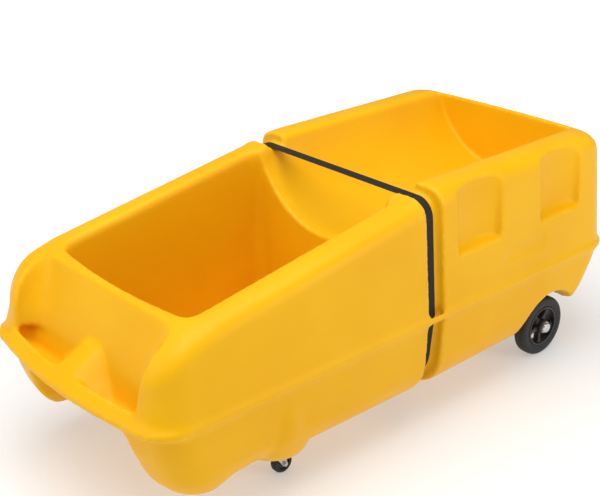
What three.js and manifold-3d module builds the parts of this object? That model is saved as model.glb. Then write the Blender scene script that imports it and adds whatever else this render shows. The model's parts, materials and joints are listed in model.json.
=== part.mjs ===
// A wheeled tub of moulded polyethylene with a cradle, a sump, a strap and a push bar.
// Millimetres. +X runs from the push bar to the large rear wheels, +Y to the side with
// the ratchet, and +Z up. The origin is on the floor, under the middle of the tub.
import * as THREE from 'three';
import { mergeVertices } from 'three/addons/utils/BufferGeometryUtils.js';
import Module from 'manifold-3d';

const wasm = await Module();
wasm.setup();

// Overall sizes of the tub
const tubLength = 1840;
const tubWidth = 842;
const flangeHeight = 367;
const flangeThickness = 36;
const flangeProud = 9;
const overrun = 12;
const contactGap = 0.3;
const halfShare = 0.5;

// Plan outline: how far the two ends bow out, and how round the four corners are
const frontBow = 30;
const rearBow = 30;
const frontCornerRadius = 98;
const rearCornerRadius = 104;

// Rim of the tub, seen from the side. Its crown is a little squarer than a circle.
const rimFrontHeight = 600;
const rimPeakHeight = 724;
const rearRimHeight = 738;
const rimRadius = 66;
const frontDropLength = 217;
const rearDropLength = 168;
const rearDropDepth = 74;
const wallDraft = 19;
const upperSetback = 8;
const rimRoundShare = 0.83;
const crownPowerShare = 0.8;
const upperLevelShares = [0.02, 0.5, 1];

// Lower half: the legs at the front, the corner along the belly and the sloped tail
const legFrontSweep = 170;
const legSetback = 26;
const legGapHalfWidth = 244;
const legFlare = 96;
// The underside's height at distances behind the front: the soles, a hollow, the belly
const bellyLevels = [
  [0, 97], [300, 97], [350, 116], [412, 122], [472, 116],
  [545, 106], [1012, 102], [1500, 108], [1840, 112],
];
const bellyCornerRadius = 120;
const bellyDraft = 14;
const tailSweep = 186;
const tailPower = 1.5;
const lowerLevelShares = [0.35, 0.7, 1];
const archTopReach = 52;
const archFloorReach = 296;
const archCorner = 24;
const archSlopeShare = 0.8;
const soleRoundShare = 0.3;
const archLevelShares = [-0.1, 0.04, 0.15, 0.3, 0.55, 0.8, 0.9, 0.97];
const flareSteps = 5;

// The cradle and the sump
const cradleRadius = 293;
const cradleAxisHeight = 811;
const cradleLength = 822;
const rearWall = 102;
const cradleEdgeRadius = 26;
const sumpHalfWidth = 294;
const sumpFloorHeight = 165;
const sumpFrontSetback = 221;
const sumpBow = 16;
const sumpDraft = 26;
const sumpCornerRadius = 34;
const bulkheadRake = 10;
const rimFillet = 22;
const sumpFootShare = -0.1;
// Levels of the sump's rolled edge: how far out it has turned, and how far below the
// crown it lies
const sumpEdgeShares = [[0, 1], [0.12, 0.5], [0.4, 0.18], [1, 0], [1.6, -1]];
const cradleRollShares = [[0.12, 0.5], [0.4, 0.82], [1, 1], [1.8, 1.6]];

// Front scoop, and the lump between the two hand pockets
const barDepth = 36;
const barBow = 24;
const barHeight = 12;
const scoopTopHalfWidth = 330;
const scoopFootHalfWidth = 300;
const scoopFootHeight = 352;
const scoopFootReach = 92;
const scoopCornerRadius = 110;
const scoopFlarePower = 4;
const scoopLevelShares = [0, 0.25, 0.5, 0.75, 1, 1.25];
const pocketEdge = 4;
const pocketCornerShare = 0.7;
const lumpFrontWidth = 268;
const lumpRearWidth = 284;
const lumpTopShare = 0.24;
const lumpFrontHeight = 14;
const lumpRearHeight = 72;
const lumpReach = 110;
const lumpLevelShares = [0, 0.5, 0.9, 1];
const lumpRoundShares = [1, 1, 1, 0.8];

// Side pockets and the bare plate between them
const pocketRadius = 294;
const pocketHalfWidth = 93;
const pocketDepth = 46;
const pocketFloorHeight = 540;
const pocketFloorSlope = 26;
const firstPocketSetback = 258;
const pocketPitch = 370;
const plateLength = 188;
const plateHeight = 46;
const plateDepth = 5;
const plateCentreHeight = 464;
const plateSetback = 460;
const plateCornerShare = 0.2;

// The strap and the groove that holds it
const grooveWidth = 60;
const grooveDepth = 24;
const grooveSetback = 70;
const strapWidth = 35;
const strapThickness = 2.4;
const strapForward = 9;
const bridgeThickness = 9;

// The ratchet, in a recess of the groove on the +Y side
const ratchetHeight = 520;
const cheekThickness = 2.5;
const ratchetClearance = 0.5;
const spoolRadius = 8;
const spoolSlot = 3;
const spoolShaftRadius = 5;
const spoolEndRadius = 8;
const spoolEndThickness = 1.5;
const toothCount = 12;
const toothTipRadius = 17;
const toothRootRadius = 13.5;
const toothFlankShare = 0.55;
const frameSpoolRadius = 12;
const frameLength = 80;
const frameEndRadius = 9;
const frameFloorLength = 44;
const endBoltRadius = 4;
const endBoltHeadRadius = 6;
const endBoltHeadThickness = 0.9;
const pawlLength = 22;
const pawlThickness = 2.5;
const pawlWingLength = 10;
const pawlTravel = 4;
const pawlWingRise = 1.5;
const springRadius = 3.6;
const springWireRadius = 0.7;
const springTurns = 5;
const springPitch = 3.5;
const springSeatThickness = 3.6;
const springSeatWidthShare = 1.3;
const handleReach = 90;
const handleLift = 15.5;
const handleAxisRadius = 10;
const handleEndRadius = 7.5;
const handleWaist = 6;
const gripRadius = 7;
const gripBarRadius = 5.5;
const recessHalfWidth = 32;
const recessMargin = 12;

// Rear wheels and their axle
const wheelRadius = 100;
const tyreWidth = 46;
const tyreDepth = 33;
const wheelSetback = 258;
const wheelInset = 91;
const archRadius = 128;
const archMouthRadius = 153;
const archMouthForward = 62;
const archMouthRise = 15;
const archDepth = 72;
const archSteps = 40;
const axleRadius = 10;
const axleSeatInset = 131;
const runningGap = 0.4;
const bushWall = 3;
const hubRadius = 24;
const hubOverhang = 5;
const rimWall = 7;
const spokeWidth = 16;
const spokeDepth = 24;
const spokeCount = 5;
const spokeTurnShare = 0.25;
const washerThickness = 2.5;
const washerRadius = 19;
const capRadius = 17;
const capHeight = 9;
const capWall = 2;
const capProfileShares = [[1, 0], [1, 0.4], [0.86, 0.85], [0.5, 1]];
const axleEndSpare = 6;
const spacerRadius = 14;
const tyreProfileShares = [
  [0, -0.78], [0.3, -0.96], [0.62, -1], [0.86, -0.9], [0.97, -0.66], [1, -0.3],
  [1, 0.3], [0.97, 0.66], [0.86, 0.9], [0.62, 1], [0.3, 0.96], [0, 0.78],
];

// Axle clamps under the belly
const lugLength = 84;
const lugWidth = 46;
const clampThickness = 3;
const clampWidth = 32;
const clampFoot = 26;
const screwRadius = 3;
const screwHeadRadius = 6.5;
const screwHeadHeight = 4;
const screwDepth = 14;

// Swivel casters under the front housings
const casterSetback = 494;
const casterInset = 144;
const casterWheelRadius = 31.5;
const casterWheelWidth = 22;
const casterTreadDepth = 6;
const casterTrail = 26;
const casterPlateLength = 92;
const casterPlateWidth = 70;
const casterPlateThickness = 3;
const casterScrewSpanX = 72;
const casterScrewSpanY = 50;
const casterRaceRadius = 25;
const casterRaceHeight = 5;
const forkThickness = 2.6;
const forkInnerWidth = 27;
const kingpinRadius = 5;
const kingpinHeadHeight = 3;
const casterHubRadius = 9;
const casterHubOverhang = 1.2;
const casterWebShare = 0.4;
const casterRimShare = 0.86;
const casterTreadShares = [[0, 0.9], [0.6, 1], [1, 0.6]];
const casterNutHeight = 5;
const casterHeadShare = 1.7;
const casterNutShare = 1.8;
const forkEndRadius = 9;
const forkFrontDrop = 5.2;
const forkRearDrop = 13;
const forkFrontShare = 0.8;
const forkRearShare = 0.9;
const forkTurnShare = 1.08;
const casterAxleRadius = 4;
// Each level of a housing: its height, how far its middle lies in front of the caster,
// its half length, how far inside the tub's side it ends, and its half depth
const housingLevels = [
  [103, 4, 84, 56, 88],
  [118, 12, 94, 40, 88],
  [150, 28, 104, 20, 84],
  [200, 44, 98, 1, 76],
  [250, 46, 68, -4, 60],
  [290, 46, 46, -3, 44],
  [330, 44, 20, 4, 24],
];

// How many steps round things are drawn with
const ringCornerSteps = 4;
const ringEdgeSteps = 3;
const cornerSteps = 6;
const endSteps = 3;
const sideSteps = 20;
const rimRoundSteps = 5;
const bellyRoundSteps = 6;
const troughSteps = 20;
const pocketSteps = 10;
const hoopSteps = 6;
const housingSteps = 11;
const tyreSteps = 44;
const hubSteps = 28;
const shaftSteps = 24;
const loopSteps = 20;
const boltSteps = 16;
const screwSteps = 10;
const screwHoleSteps = 8;
const hexSides = 6;
const endArcSteps = 8;
const frameArcSteps = 6;
const clampArcSteps = 12;
const springWireSteps = 6;
const springTurnSteps = 10;

const tubEndX = tubLength / 2;
const tubFrontX = -tubEndX;
const halfWidth = tubWidth / 2 - flangeProud;
const flangeTopHeight = flangeHeight + flangeThickness / 2;
const flangeFootHeight = flangeHeight - flangeThickness / 2;
const cradleRearX = tubEndX - rearWall;
const bulkheadX = cradleRearX - cradleLength;
const sumpFrontX = tubFrontX + sumpFrontSetback;
const grooveX = bulkheadX + grooveSetback;
const wheelX = tubEndX - wheelSetback;
const wheelHalfTrack = halfWidth - wheelInset;
const axleSeatHalfSpan = wheelHalfTrack - axleSeatInset;
const casterX = tubFrontX + casterSetback;
const casterHalfTrack = halfWidth - casterInset;
const soleHeight = bellyLevels[0][1];
const housingHeight = housingLevels[0][0];
const strapX = grooveX + strapForward + strapWidth / 2 - grooveWidth / 2;

// Finishes
const yellowFinish = { color: 0xf2a900, roughness: 0.42, metalness: 0 };
const webbingFinish = { color: 0x26282b, roughness: 0.8, metalness: 0 };
const steelFinish = { color: 0xb9bcc0, roughness: 0.35, metalness: 1 };
const zincFinish = { color: 0xc9ccd0, roughness: 0.28, metalness: 1 };
const tyreFinish = { color: 0x1b1b1d, roughness: 0.75, metalness: 0 };
const rimFinish = { color: 0x151517, roughness: 0.5, metalness: 0 };
const nylonFinish = { color: 0xd8d6cf, roughness: 0.5, metalness: 0 };
const gripFinish = { color: 0x18191b, roughness: 0.55, metalness: 0 };

const part = new THREE.Group();

// A closed three.js geometry becomes a solid that can be joined and cut.
function solidOf(geometry) {
  const bare = geometry.clone();
  bare.deleteAttribute('normal');
  bare.deleteAttribute('uv');
  const merged = mergeVertices(bare);
  const mesh = new wasm.Mesh({
    numProp: 3,
    vertProperties: new Float32Array(merged.attributes.position.array),
    triVerts: new Uint32Array(merged.index.array),
  });
  return new wasm.Manifold(mesh);
}

function geometryOf(solid) {
  const mesh = solid.getMesh();
  const geometry = new THREE.BufferGeometry();
  geometry.setAttribute('position', new THREE.BufferAttribute(mesh.vertProperties, 3));
  geometry.setIndex(new THREE.BufferAttribute(mesh.triVerts, 1));
  geometry.computeVertexNormals();
  return geometry;
}

function addPiece(name, solid, finish) {
  const mesh = new THREE.Mesh(geometryOf(solid), new THREE.MeshStandardMaterial(finish));
  mesh.name = name;
  part.add(mesh);
  return mesh;
}

function joined(solids) {
  return solids.reduce((all, next) => all.add(next));
}

function block(low, high) {
  const size = high.map((value, axis) => value - low[axis]);
  const geometry = new THREE.BoxGeometry(...size);
  geometry.translate(...low.map((value, axis) => value + size[axis] / 2));
  return solidOf(geometry);
}

// A flat outline pushed along one axis. The outline's two numbers are the other two
// coordinates: Y and Z along X, X and Z along Y, and X and Y along Z.
function pushed(outline, axis, from, to) {
  const flipped = axis === 'y' ? outline.map(([u, v]) => [u, -v]) : outline;
  const shape = new THREE.Shape(flipped.map(([u, v]) => new THREE.Vector2(u, v)));
  const geometry = new THREE.ExtrudeGeometry(shape, { depth: to - from, bevelEnabled: false });
  geometry.translate(0, 0, from);
  if (axis === 'x') {
    geometry.rotateX(Math.PI / 2).rotateZ(Math.PI / 2);
  }
  if (axis === 'y') {
    geometry.rotateX(-Math.PI / 2);
  }
  return solidOf(geometry);
}

// A profile of [radius, place] points turned about an axis through the given point.
function turned(profile, steps, axis, centre) {
  const points = profile.map(([radius, place]) => new THREE.Vector2(radius, place));
  const geometry = new THREE.LatheGeometry(points, steps);
  if (axis === 'x') {
    geometry.rotateZ(-Math.PI / 2);
  }
  if (axis === 'z') {
    geometry.rotateX(Math.PI / 2);
  }
  geometry.translate(...centre);
  return solidOf(geometry);
}

function rod(radius, from, to, steps, axis, centre) {
  const profile = [[0, from], [radius, from], [radius, to], [0, to]];
  return turned(profile, steps, axis, centre);
}

function ringOf(inner, outer, from, to, steps, axis, centre) {
  const profile = [[inner, from], [outer, from], [outer, to], [inner, to], [inner, from]];
  return turned(profile, steps, axis, centre);
}

// A closed skin over a stack of rings with the same count of points. The two end
// caps are ladders between points that lie the same way from the ring's first point.
function stackOf(rings) {
  const count = rings[0].length;
  const faces = [];
  for (let level = 0; level < rings.length - 1; level += 1) {
    for (let step = 0; step < count; step += 1) {
      const next = (step + 1) % count;
      const low = level * count;
      const high = low + count;
      faces.push(low + step, low + next, high + next, low + step, high + next, high + step);
    }
  }
  const top = (rings.length - 1) * count;
  for (let step = 0; step < count / 2 - 1; step += 1) {
    const mirror = count - 1 - step;
    const corners = [[step, step + 1, mirror - 1], [step, mirror - 1, mirror]];
    for (const [a, b, c] of corners) {
      if (new Set([a, b, c]).size === 3) {
        faces.push(top + a, top + b, top + c, a, c, b);
      }
    }
  }
  const geometry = new THREE.BufferGeometry();
  geometry.setAttribute('position', new THREE.Float32BufferAttribute(rings.flat(2), 3));
  geometry.setIndex(faces);
  return solidOf(geometry);
}

// A loft between rings of any outline, closed at both ends with a triangulated cap.
// The rings are stacked upwards, and the place function then turns their points.
function prismOf(outlines, place = (point) => point) {
  const flat = (ring) => ring.map(([x, y]) => new THREE.Vector2(x, y));
  const clockwise = THREE.ShapeUtils.isClockWise(flat(outlines[0]));
  const rings = clockwise ? outlines.map((ring) => [...ring].reverse()) : outlines;
  const count = rings[0].length;
  const faces = [];
  for (let level = 0; level < rings.length - 1; level += 1) {
    for (let step = 0; step < count; step += 1) {
      const next = (step + 1) % count;
      const low = level * count;
      const high = low + count;
      faces.push(low + step, low + next, high + next, low + step, high + next, high + step);
    }
  }
  const top = (rings.length - 1) * count;
  for (const [a, b, c] of THREE.ShapeUtils.triangulateShape(flat(rings[0]), [])) {
    faces.push(a, c, b, top + a, top + b, top + c);
  }
  const geometry = new THREE.BufferGeometry();
  const points = rings.flat().map(place).flat();
  geometry.setAttribute('position', new THREE.Float32BufferAttribute(points, 3));
  geometry.setIndex(faces);
  return solidOf(geometry);
}

// A rounded four-sided ring that is the same on both sides of Y = 0. Its front edge
// bows out, and its height may change along the tub.
function roundedRing({ front, rear, half, frontRadius, rearRadius, bow, heightAt }) {
  const points = [];
  const rearFlat = half - rearRadius;
  for (let step = 0; step < ringEdgeSteps; step += 1) {
    const share = (step + halfShare) / ringEdgeSteps;
    points.push([rear, rearFlat * share]);
  }
  for (let step = 0; step <= ringCornerSteps; step += 1) {
    const angle = (Math.PI / 2) * (step / ringCornerSteps);
    const x = rear - rearRadius * (1 - Math.cos(angle));
    points.push([x, rearFlat + rearRadius * Math.sin(angle)]);
  }
  const frontFlat = half - frontRadius;
  for (let step = 0; step <= ringCornerSteps; step += 1) {
    const angle = (Math.PI / 2) * (step / ringCornerSteps);
    const x = front + frontRadius * (1 - Math.sin(angle));
    points.push([x, frontFlat + frontRadius * Math.cos(angle)]);
  }
  for (let step = ringEdgeSteps - 1; step >= 0; step -= 1) {
    const share = (step + halfShare) / ringEdgeSteps;
    points.push([front - bow * (1 - share * share), frontFlat * share]);
  }
  const mirrored = points.map(([x, y]) => [x, -y]).reverse();
  return [...points, ...mirrored].map(([x, y]) => [x, y, heightAt(x)]);
}

// Plan outline of the tub, drawn in by inset. Points run from the rear middle along
// +Y to the front middle and back along -Y, each half the mirror of the other.
function planOutline(inset, setback = 0) {
  const frontX = tubFrontX + frontBow + inset + setback;
  const rearX = tubEndX - rearBow - inset;
  const width = halfWidth - inset;
  const frontRadius = frontCornerRadius - inset / 2;
  const rearRadius = rearCornerRadius - inset / 2;
  const half = [];
  const bowAt = (bow, y, flat) => bow * (1 - (y / flat) ** 2);
  const rearFlat = width - rearRadius;
  const frontFlat = width - frontRadius;
  for (let step = 0; step < endSteps; step += 1) {
    const y = (rearFlat * (step + halfShare)) / endSteps;
    half.push([rearX + bowAt(rearBow, y, rearFlat), y]);
  }
  const sideStart = rearX - rearRadius;
  const sideEnd = frontX + frontRadius;
  for (let step = 0; step <= cornerSteps; step += 1) {
    const angle = (Math.PI / 2) * (step / cornerSteps);
    const x = sideStart + rearRadius * Math.cos(angle);
    half.push([x, rearFlat + rearRadius * Math.sin(angle)]);
  }
  for (let step = 1; step < sideSteps; step += 1) {
    half.push([sideStart + ((sideEnd - sideStart) * step) / sideSteps, width]);
  }
  for (let step = 0; step <= cornerSteps; step += 1) {
    const angle = (Math.PI / 2) * (step / cornerSteps);
    const x = sideEnd - frontRadius * Math.sin(angle);
    half.push([x, frontFlat + frontRadius * Math.cos(angle)]);
  }
  for (let step = endSteps - 1; step >= 0; step -= 1) {
    const y = (frontFlat * (step + halfShare)) / endSteps;
    half.push([frontX - bowAt(frontBow, y, frontFlat), y]);
  }
  const mirrored = half.map(([x, y]) => [x, -y]).reverse();
  return [...half, ...mirrored];
}

function clampShare(value) {
  return Math.min(Math.max(value, 0), 1);
}

function smoothShare(value) {
  const share = clampShare(value);
  return share * share * (3 - 2 * share);
}

// How far a quarter ellipse has fallen, as a share, at a distance along its reach.
function quarterDrop(distance, reach) {
  const share = clampShare(distance / reach);
  return 1 - Math.sqrt(1 - share * share);
}

// Height of the rim's crown along the tub.
function rimHeight(x) {
  const rise = (rimPeakHeight - rimFrontHeight) / (grooveX - sumpFrontX);
  const line = rimFrontHeight + rise * (x - sumpFrontX);
  const step = smoothShare((x - grooveX + grooveWidth / 2) / grooveWidth);
  const level = line + (rearRimHeight - line) * step;
  const frontStart = tubFrontX + upperSetback + frontDropLength;
  const frontDrop = rimFrontHeight - flangeTopHeight - barHeight;
  const frontFall = frontDrop * quarterDrop(frontStart - x, frontDropLength);
  const rearFall = rearDropDepth * quarterDrop(x - (tubEndX - rearDropLength), rearDropLength);
  return Math.max(level - frontFall - rearFall, flangeTopHeight + barHeight);
}

// Height of the underside along the tub: the legs' soles, a hollow, then the belly.
function bellyAt(x) {
  const [lastPlace] = bellyLevels[bellyLevels.length - 1];
  const place = Math.min(Math.max(x - tubFrontX, 0), lastPlace);
  const index = Math.max(bellyLevels.findIndex(([from]) => from >= place), 1);
  const [[from, low], [to, high]] = bellyLevels.slice(index - 1, index + 1);
  return low + (high - low) * smoothShare((place - from) / (to - from));
}

const hoopTop = rimHeight(grooveX) - grooveDepth;
const hoopShoulder = rimRadius - grooveDepth / 2;
const hoopShoulderHeight = hoopTop - hoopShoulder;
const hoopFlatHalf = halfWidth - wallDraft - grooveDepth - hoopShoulder;
const hoopMidHalf = halfWidth - grooveDepth;
const hoopFootHalf = halfWidth - bellyDraft - grooveDepth;
const hoopFloor = bellyAt(grooveX) + grooveDepth;
const wrapRadius = spoolRadius + contactGap + strapThickness;
const ratchetY = hoopSideAt(ratchetHeight, contactGap) + wrapRadius;
const ratchetFloorY = ratchetY - toothTipRadius - ratchetClearance * 2 - cheekThickness - contactGap;

// How far out the upper half's side wall stands at a height, over the cradle.
function upperWallAt(z) {
  const share = (z - flangeTopHeight) / (rearRimHeight - rimRadius - flangeTopHeight);
  return halfWidth - wallDraft * clampShare(share);
}

function upperForm() {
  const rings = [];
  const ring = (inset, share, turn) => planOutline(inset, upperSetback).map(([x, y]) => {
    const tall = rimHeight(x) - flangeTopHeight;
    const round = Math.min(rimRadius, tall * rimRoundShare);
    return [x, y, flangeTopHeight + (tall - round) * share + round * turn];
  });
  rings.push(planOutline(0, upperSetback).map(([x, y]) => [x, y, flangeHeight]));
  for (const share of upperLevelShares) {
    rings.push(ring(wallDraft * share, share, 0));
  }
  for (let step = 1; step <= rimRoundSteps; step += 1) {
    const angle = (Math.PI / 2) * (step / rimRoundSteps);
    const across = Math.max(Math.cos(angle), 0) ** crownPowerShare;
    rings.push(ring(wallDraft + rimRadius * (1 - across), 1, Math.sin(angle) ** crownPowerShare));
  }
  return stackOf(rings);
}

// The band where the two mould halves met, all round the tub. Its front is the bar.
function flangeForm() {
  const half = flangeThickness / 2;
  const levels = [
    [flangeProud, -1], [-flangeProud, -halfShare], [-flangeProud, halfShare], [flangeProud, 1],
  ];
  return stackOf(levels.map(([inset, level]) => planOutline(inset).map(
    ([x, y]) => [x, y, flangeHeight + level * half],
  )));
}

// Each ring of the lower half is drawn in at the front, the rear and the sides.
function lowerForm() {
  const levels = [];
  for (let step = 0; step <= bellyRoundSteps; step += 1) {
    levels.push({ round: (Math.PI / 2) * (1 - step / bellyRoundSteps), share: 0 });
  }
  for (const share of lowerLevelShares) {
    levels.push({ round: 0, share });
  }
  return stackOf(levels.map(({ round, share }) => planOutline(0).map(([x, y]) => {
    const side = bellyCornerRadius * (1 - Math.cos(round));
    const along = (x - tubFrontX) / tubLength;
    const fullFront = legSetback + legFrontSweep;
    const floor = bellyAt(tubFrontX + fullFront + along * (tubLength - fullFront - tailSweep));
    const cornerTop = floor + bellyCornerRadius;
    const z = cornerTop - bellyCornerRadius * Math.sin(round) + (flangeHeight - cornerTop) * share;
    const drop = (flangeHeight - z) / (flangeHeight - floor);
    const inset = side + bellyDraft * drop;
    const frontSweep = legSetback + legFrontSweep * quarterDrop(drop, 1);
    const rearSweep = tailSweep * drop ** tailPower + side / 2;
    const newX = tubFrontX + frontSweep + along * (tubLength - frontSweep - rearSweep);
    return [newX, (y * (halfWidth - inset)) / halfWidth, z];
  })));
}

// The open arch under the bar, between the two legs. Its rear wall slopes down to the
// rear, its front edges flare out, and its corners are rounded.
function legArch() {
  const rise = flangeHeight - soleHeight;
  const frontX = tubFrontX + frontBow;
  const ringAt = (share) => {
    const slope = Math.min(share / archSlopeShare, 1);
    const reach = archFloorReach + (archTopReach - archFloorReach) * slope;
    const soleRound = bellyCornerRadius * quarterDrop(soleRoundShare - share, soleRoundShare);
    const topRound = legFlare * quarterDrop(share - archSlopeShare, 1 - archSlopeShare);
    const half = legGapHalfWidth + soleRound - topRound;
    const rearX = tubFrontX + reach;
    const flareStart = rearX - archCorner;
    const flareEnd = Math.min(frontX, flareStart - archCorner / 2);
    const left = [[rearX, half / 2], [rearX, half - archCorner], [rearX - archCorner / 2, half]];
    for (let step = 0; step <= flareSteps; step += 1) {
      const angle = (Math.PI / 2) * (step / flareSteps);
      const x = flareStart + (flareEnd - flareStart) * Math.sin(angle);
      left.push([x, half + legFlare * (1 - Math.cos(angle))]);
    }
    left.push([tubFrontX - overrun, half + legFlare]);
    left.push([tubFrontX - overrun, half / 2]);
    const z = soleHeight + rise * share;
    const right = left.map(([x, y]) => [x, -y]).reverse();
    return [...left, ...right].map(([x, y]) => [x, y, z]);
  };
  return stackOf(archLevelShares.map(ringAt));
}

// The well of the sump, with sloped walls and a rolled edge that follows the rim.
function sumpForm() {
  const rings = [];
  const wall = (share, out, heightAt) => roundedRing({
    front: sumpFrontX + sumpDraft * (1 - share) - out,
    rear: bulkheadX - bulkheadRake * (1 - share),
    half: sumpHalfWidth - sumpDraft * (1 - share) + out,
    frontRadius: sumpCornerRadius,
    rearRadius: sumpCornerRadius,
    bow: sumpBow,
    heightAt,
  });
  rings.push(wall(sumpFootShare, -sumpCornerRadius / 2, () => sumpFloorHeight));
  rings.push(wall(0, 0, () => sumpFloorHeight + sumpCornerRadius / 2));
  for (const [out, below] of sumpEdgeShares) {
    rings.push(wall(1, rimFillet * out, (x) => rimHeight(x) - rimFillet * below));
  }
  return stackOf(rings);
}

// The cradle: a round trough with rolled upper edges, open at its front.
function cradleForm() {
  const outline = [];
  const rimStart = rearRimHeight - cradleEdgeRadius;
  const openAngle = Math.acos((cradleAxisHeight - rimStart) / cradleRadius);
  for (let step = -troughSteps; step <= troughSteps; step += 1) {
    const angle = (openAngle * step) / troughSteps;
    const z = cradleAxisHeight - cradleRadius * Math.cos(angle);
    outline.push([cradleRadius * Math.sin(angle), z]);
  }
  const edgeHalf = cradleRadius * Math.sin(openAngle);
  const right = cradleRollShares.map(
    ([out, up]) => [edgeHalf + cradleEdgeRadius * out, rimStart + cradleEdgeRadius * up],
  );
  outline.push(...right, ...right.map(([y, z]) => [-y, z]).reverse());
  return pushed(outline, 'x', bulkheadX - overrun, cradleRearX);
}

// The scoop over the bar: a sloped back between side walls that close in towards the
// top, and a pocket behind the bar that narrows to its floor.
function scoopForm() {
  const barTop = flangeTopHeight + barHeight;
  const rise = rimFrontHeight - scoopFootHeight;
  const slope = (sumpFrontSetback - sumpBow - rimFillet - scoopFootReach) / rise;
  const ring = (z, front, grow) => {
    const share = clampShare((z - scoopFootHeight) / rise);
    const flare = (scoopTopHalfWidth - scoopFootHalfWidth) * share ** scoopFlarePower;
    const rear = tubFrontX + scoopFootReach + slope * (z - scoopFootHeight) - grow / 2;
    const wideRadius = scoopCornerRadius * (1 - share * halfShare);
    return roundedRing({
      front,
      rear,
      half: scoopFootHalfWidth + flare - grow,
      frontRadius: pocketEdge,
      rearRadius: Math.min(wideRadius, (rear - front) * pocketCornerShare),
      bow: barBow,
      heightAt: () => z,
    });
  };
  const open = tubFrontX - overrun;
  const upper = scoopLevelShares.map(
    (share) => ring(barTop + (rimFrontHeight - barTop) * share, open, 0),
  );
  const front = tubFrontX + barDepth + barBow;
  const pocket = [
    ring(scoopFootHeight - pocketEdge, front + pocketEdge, pocketEdge * 2),
    ring(scoopFootHeight + pocketEdge, front, 0),
    ring(barTop - pocketEdge, front, 0),
    ring(barTop + pocketEdge, front - pocketEdge * 2, 0),
  ];
  return joined([stackOf(upper), stackOf(pocket)]);
}

// The lump between the hand pockets ties the bar to the scoop: a wedge that is low and
// narrow at the bar, and tall and wide where it runs into the scoop.
function lumpForm() {
  const front = tubFrontX + barDepth - overrun / 2;
  const rear = front + lumpReach;
  const foot = scoopFootHeight - overrun;
  const ring = (share) => {
    const place = (alongShare, [frontHalf, rearHalf]) => {
      const height = lumpFrontHeight + (lumpRearHeight - lumpFrontHeight) * alongShare;
      const x = front + (rear - front) * alongShare;
      const half = frontHalf + (rearHalf - frontHalf) * alongShare;
      return [x, half, foot + (flangeTopHeight - foot + height) * share];
    };
    const round = lumpRoundShares[lumpLevelShares.indexOf(share)];
    const halves = [lumpFrontWidth, lumpRearWidth].map(
      (width) => (width / 2) * (1 + (lumpTopShare - 1) * share) * round,
    );
    const points = [1, 1, halfShare, 0, 0].map((alongShare) => place(alongShare, halves));
    points[0][1] *= halfShare;
    points[4][1] *= halfShare;
    return [...points, ...points.map(([x, y, z]) => [x, -y, z]).reverse()];
  };
  return stackOf(lumpLevelShares.map(ring));
}

// Side pockets are upright scoops with a hollowed back, straight edges and a sloped
// floor, open at the rim.
function pocketForm(x, side) {
  const centreY = halfWidth + pocketRadius - pocketDepth;
  const sweep = Math.asin(pocketHalfWidth / pocketRadius);
  const outerY = tubWidth / 2 + overrun;
  const back = [];
  for (let step = 0; step <= pocketSteps; step += 1) {
    const angle = sweep * ((2 * step) / pocketSteps - 1);
    back.push([x + pocketRadius * Math.sin(angle), centreY - pocketRadius * Math.cos(angle)]);
  }
  const outline = [[x - pocketHalfWidth, outerY], ...back, [x + pocketHalfWidth, outerY]];
  const ring = (z, fall) => outline.map(([px, py]) => {
    const out = (py - halfWidth + pocketDepth) / (outerY - halfWidth + pocketDepth);
    return [px, side * py, z - fall * out];
  });
  return prismOf([ring(pocketFloorHeight, pocketFloorSlope), ring(rearRimHeight + overrun, 0)]);
}

function plateForm(side) {
  const x = bulkheadX + plateSetback;
  const low = plateCentreHeight - plateHeight / 2;
  const high = plateCentreHeight + plateHeight / 2;
  const cut = plateHeight * plateCornerShare;
  const from = x - plateLength / 2;
  const to = x + plateLength / 2;
  const outline = [
    [from, low + cut], [from + cut, low], [to - cut, low], [to, low + cut],
    [to, high - cut], [to - cut, high], [from + cut, high], [from, high - cut],
  ];
  const inner = upperWallAt(plateCentreHeight) - plateDepth;
  const outer = halfWidth + overrun;
  return side > 0 ? pushed(outline, 'y', inner, outer) : pushed(outline, 'y', -outer, -inner);
}

// One half of the hoop that the strap lies on, in the YZ plane, grown outwards by the
// offset. It runs from the rim's flat top down the side and round to the belly.
function hoopHalf(offset) {
  const half = [];
  for (let step = 0; step <= hoopSteps; step += 1) {
    const angle = (Math.PI / 2) * (step / hoopSteps);
    const radius = hoopShoulder + offset;
    const z = hoopShoulderHeight + radius * Math.cos(angle);
    half.push([hoopFlatHalf + radius * Math.sin(angle), z]);
  }
  half.push([hoopMidHalf + offset, flangeHeight]);
  const centre = [hoopFootHalf - bellyCornerRadius, hoopFloor + bellyCornerRadius];
  for (let step = 0; step <= hoopSteps; step += 1) {
    const angle = (Math.PI / 2) * (step / hoopSteps);
    const radius = bellyCornerRadius + offset;
    half.push([centre[0] + radius * Math.cos(angle), centre[1] - radius * Math.sin(angle)]);
  }
  return half;
}

function mirroredPath(path) {
  return path.map(([y, z]) => [-y, z]).reverse();
}

function hoopOutline(offset) {
  return [...hoopHalf(offset), ...mirroredPath(hoopHalf(offset))];
}

// How far out the hoop's side wall stands at a height between flange and shoulder.
function hoopSideAt(z, offset) {
  const share = (hoopShoulderHeight - z) / (hoopShoulderHeight - flangeHeight);
  return hoopFlatHalf + hoopShoulder + (hoopMidHalf - hoopFlatHalf - hoopShoulder) * share + offset;
}

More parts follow.
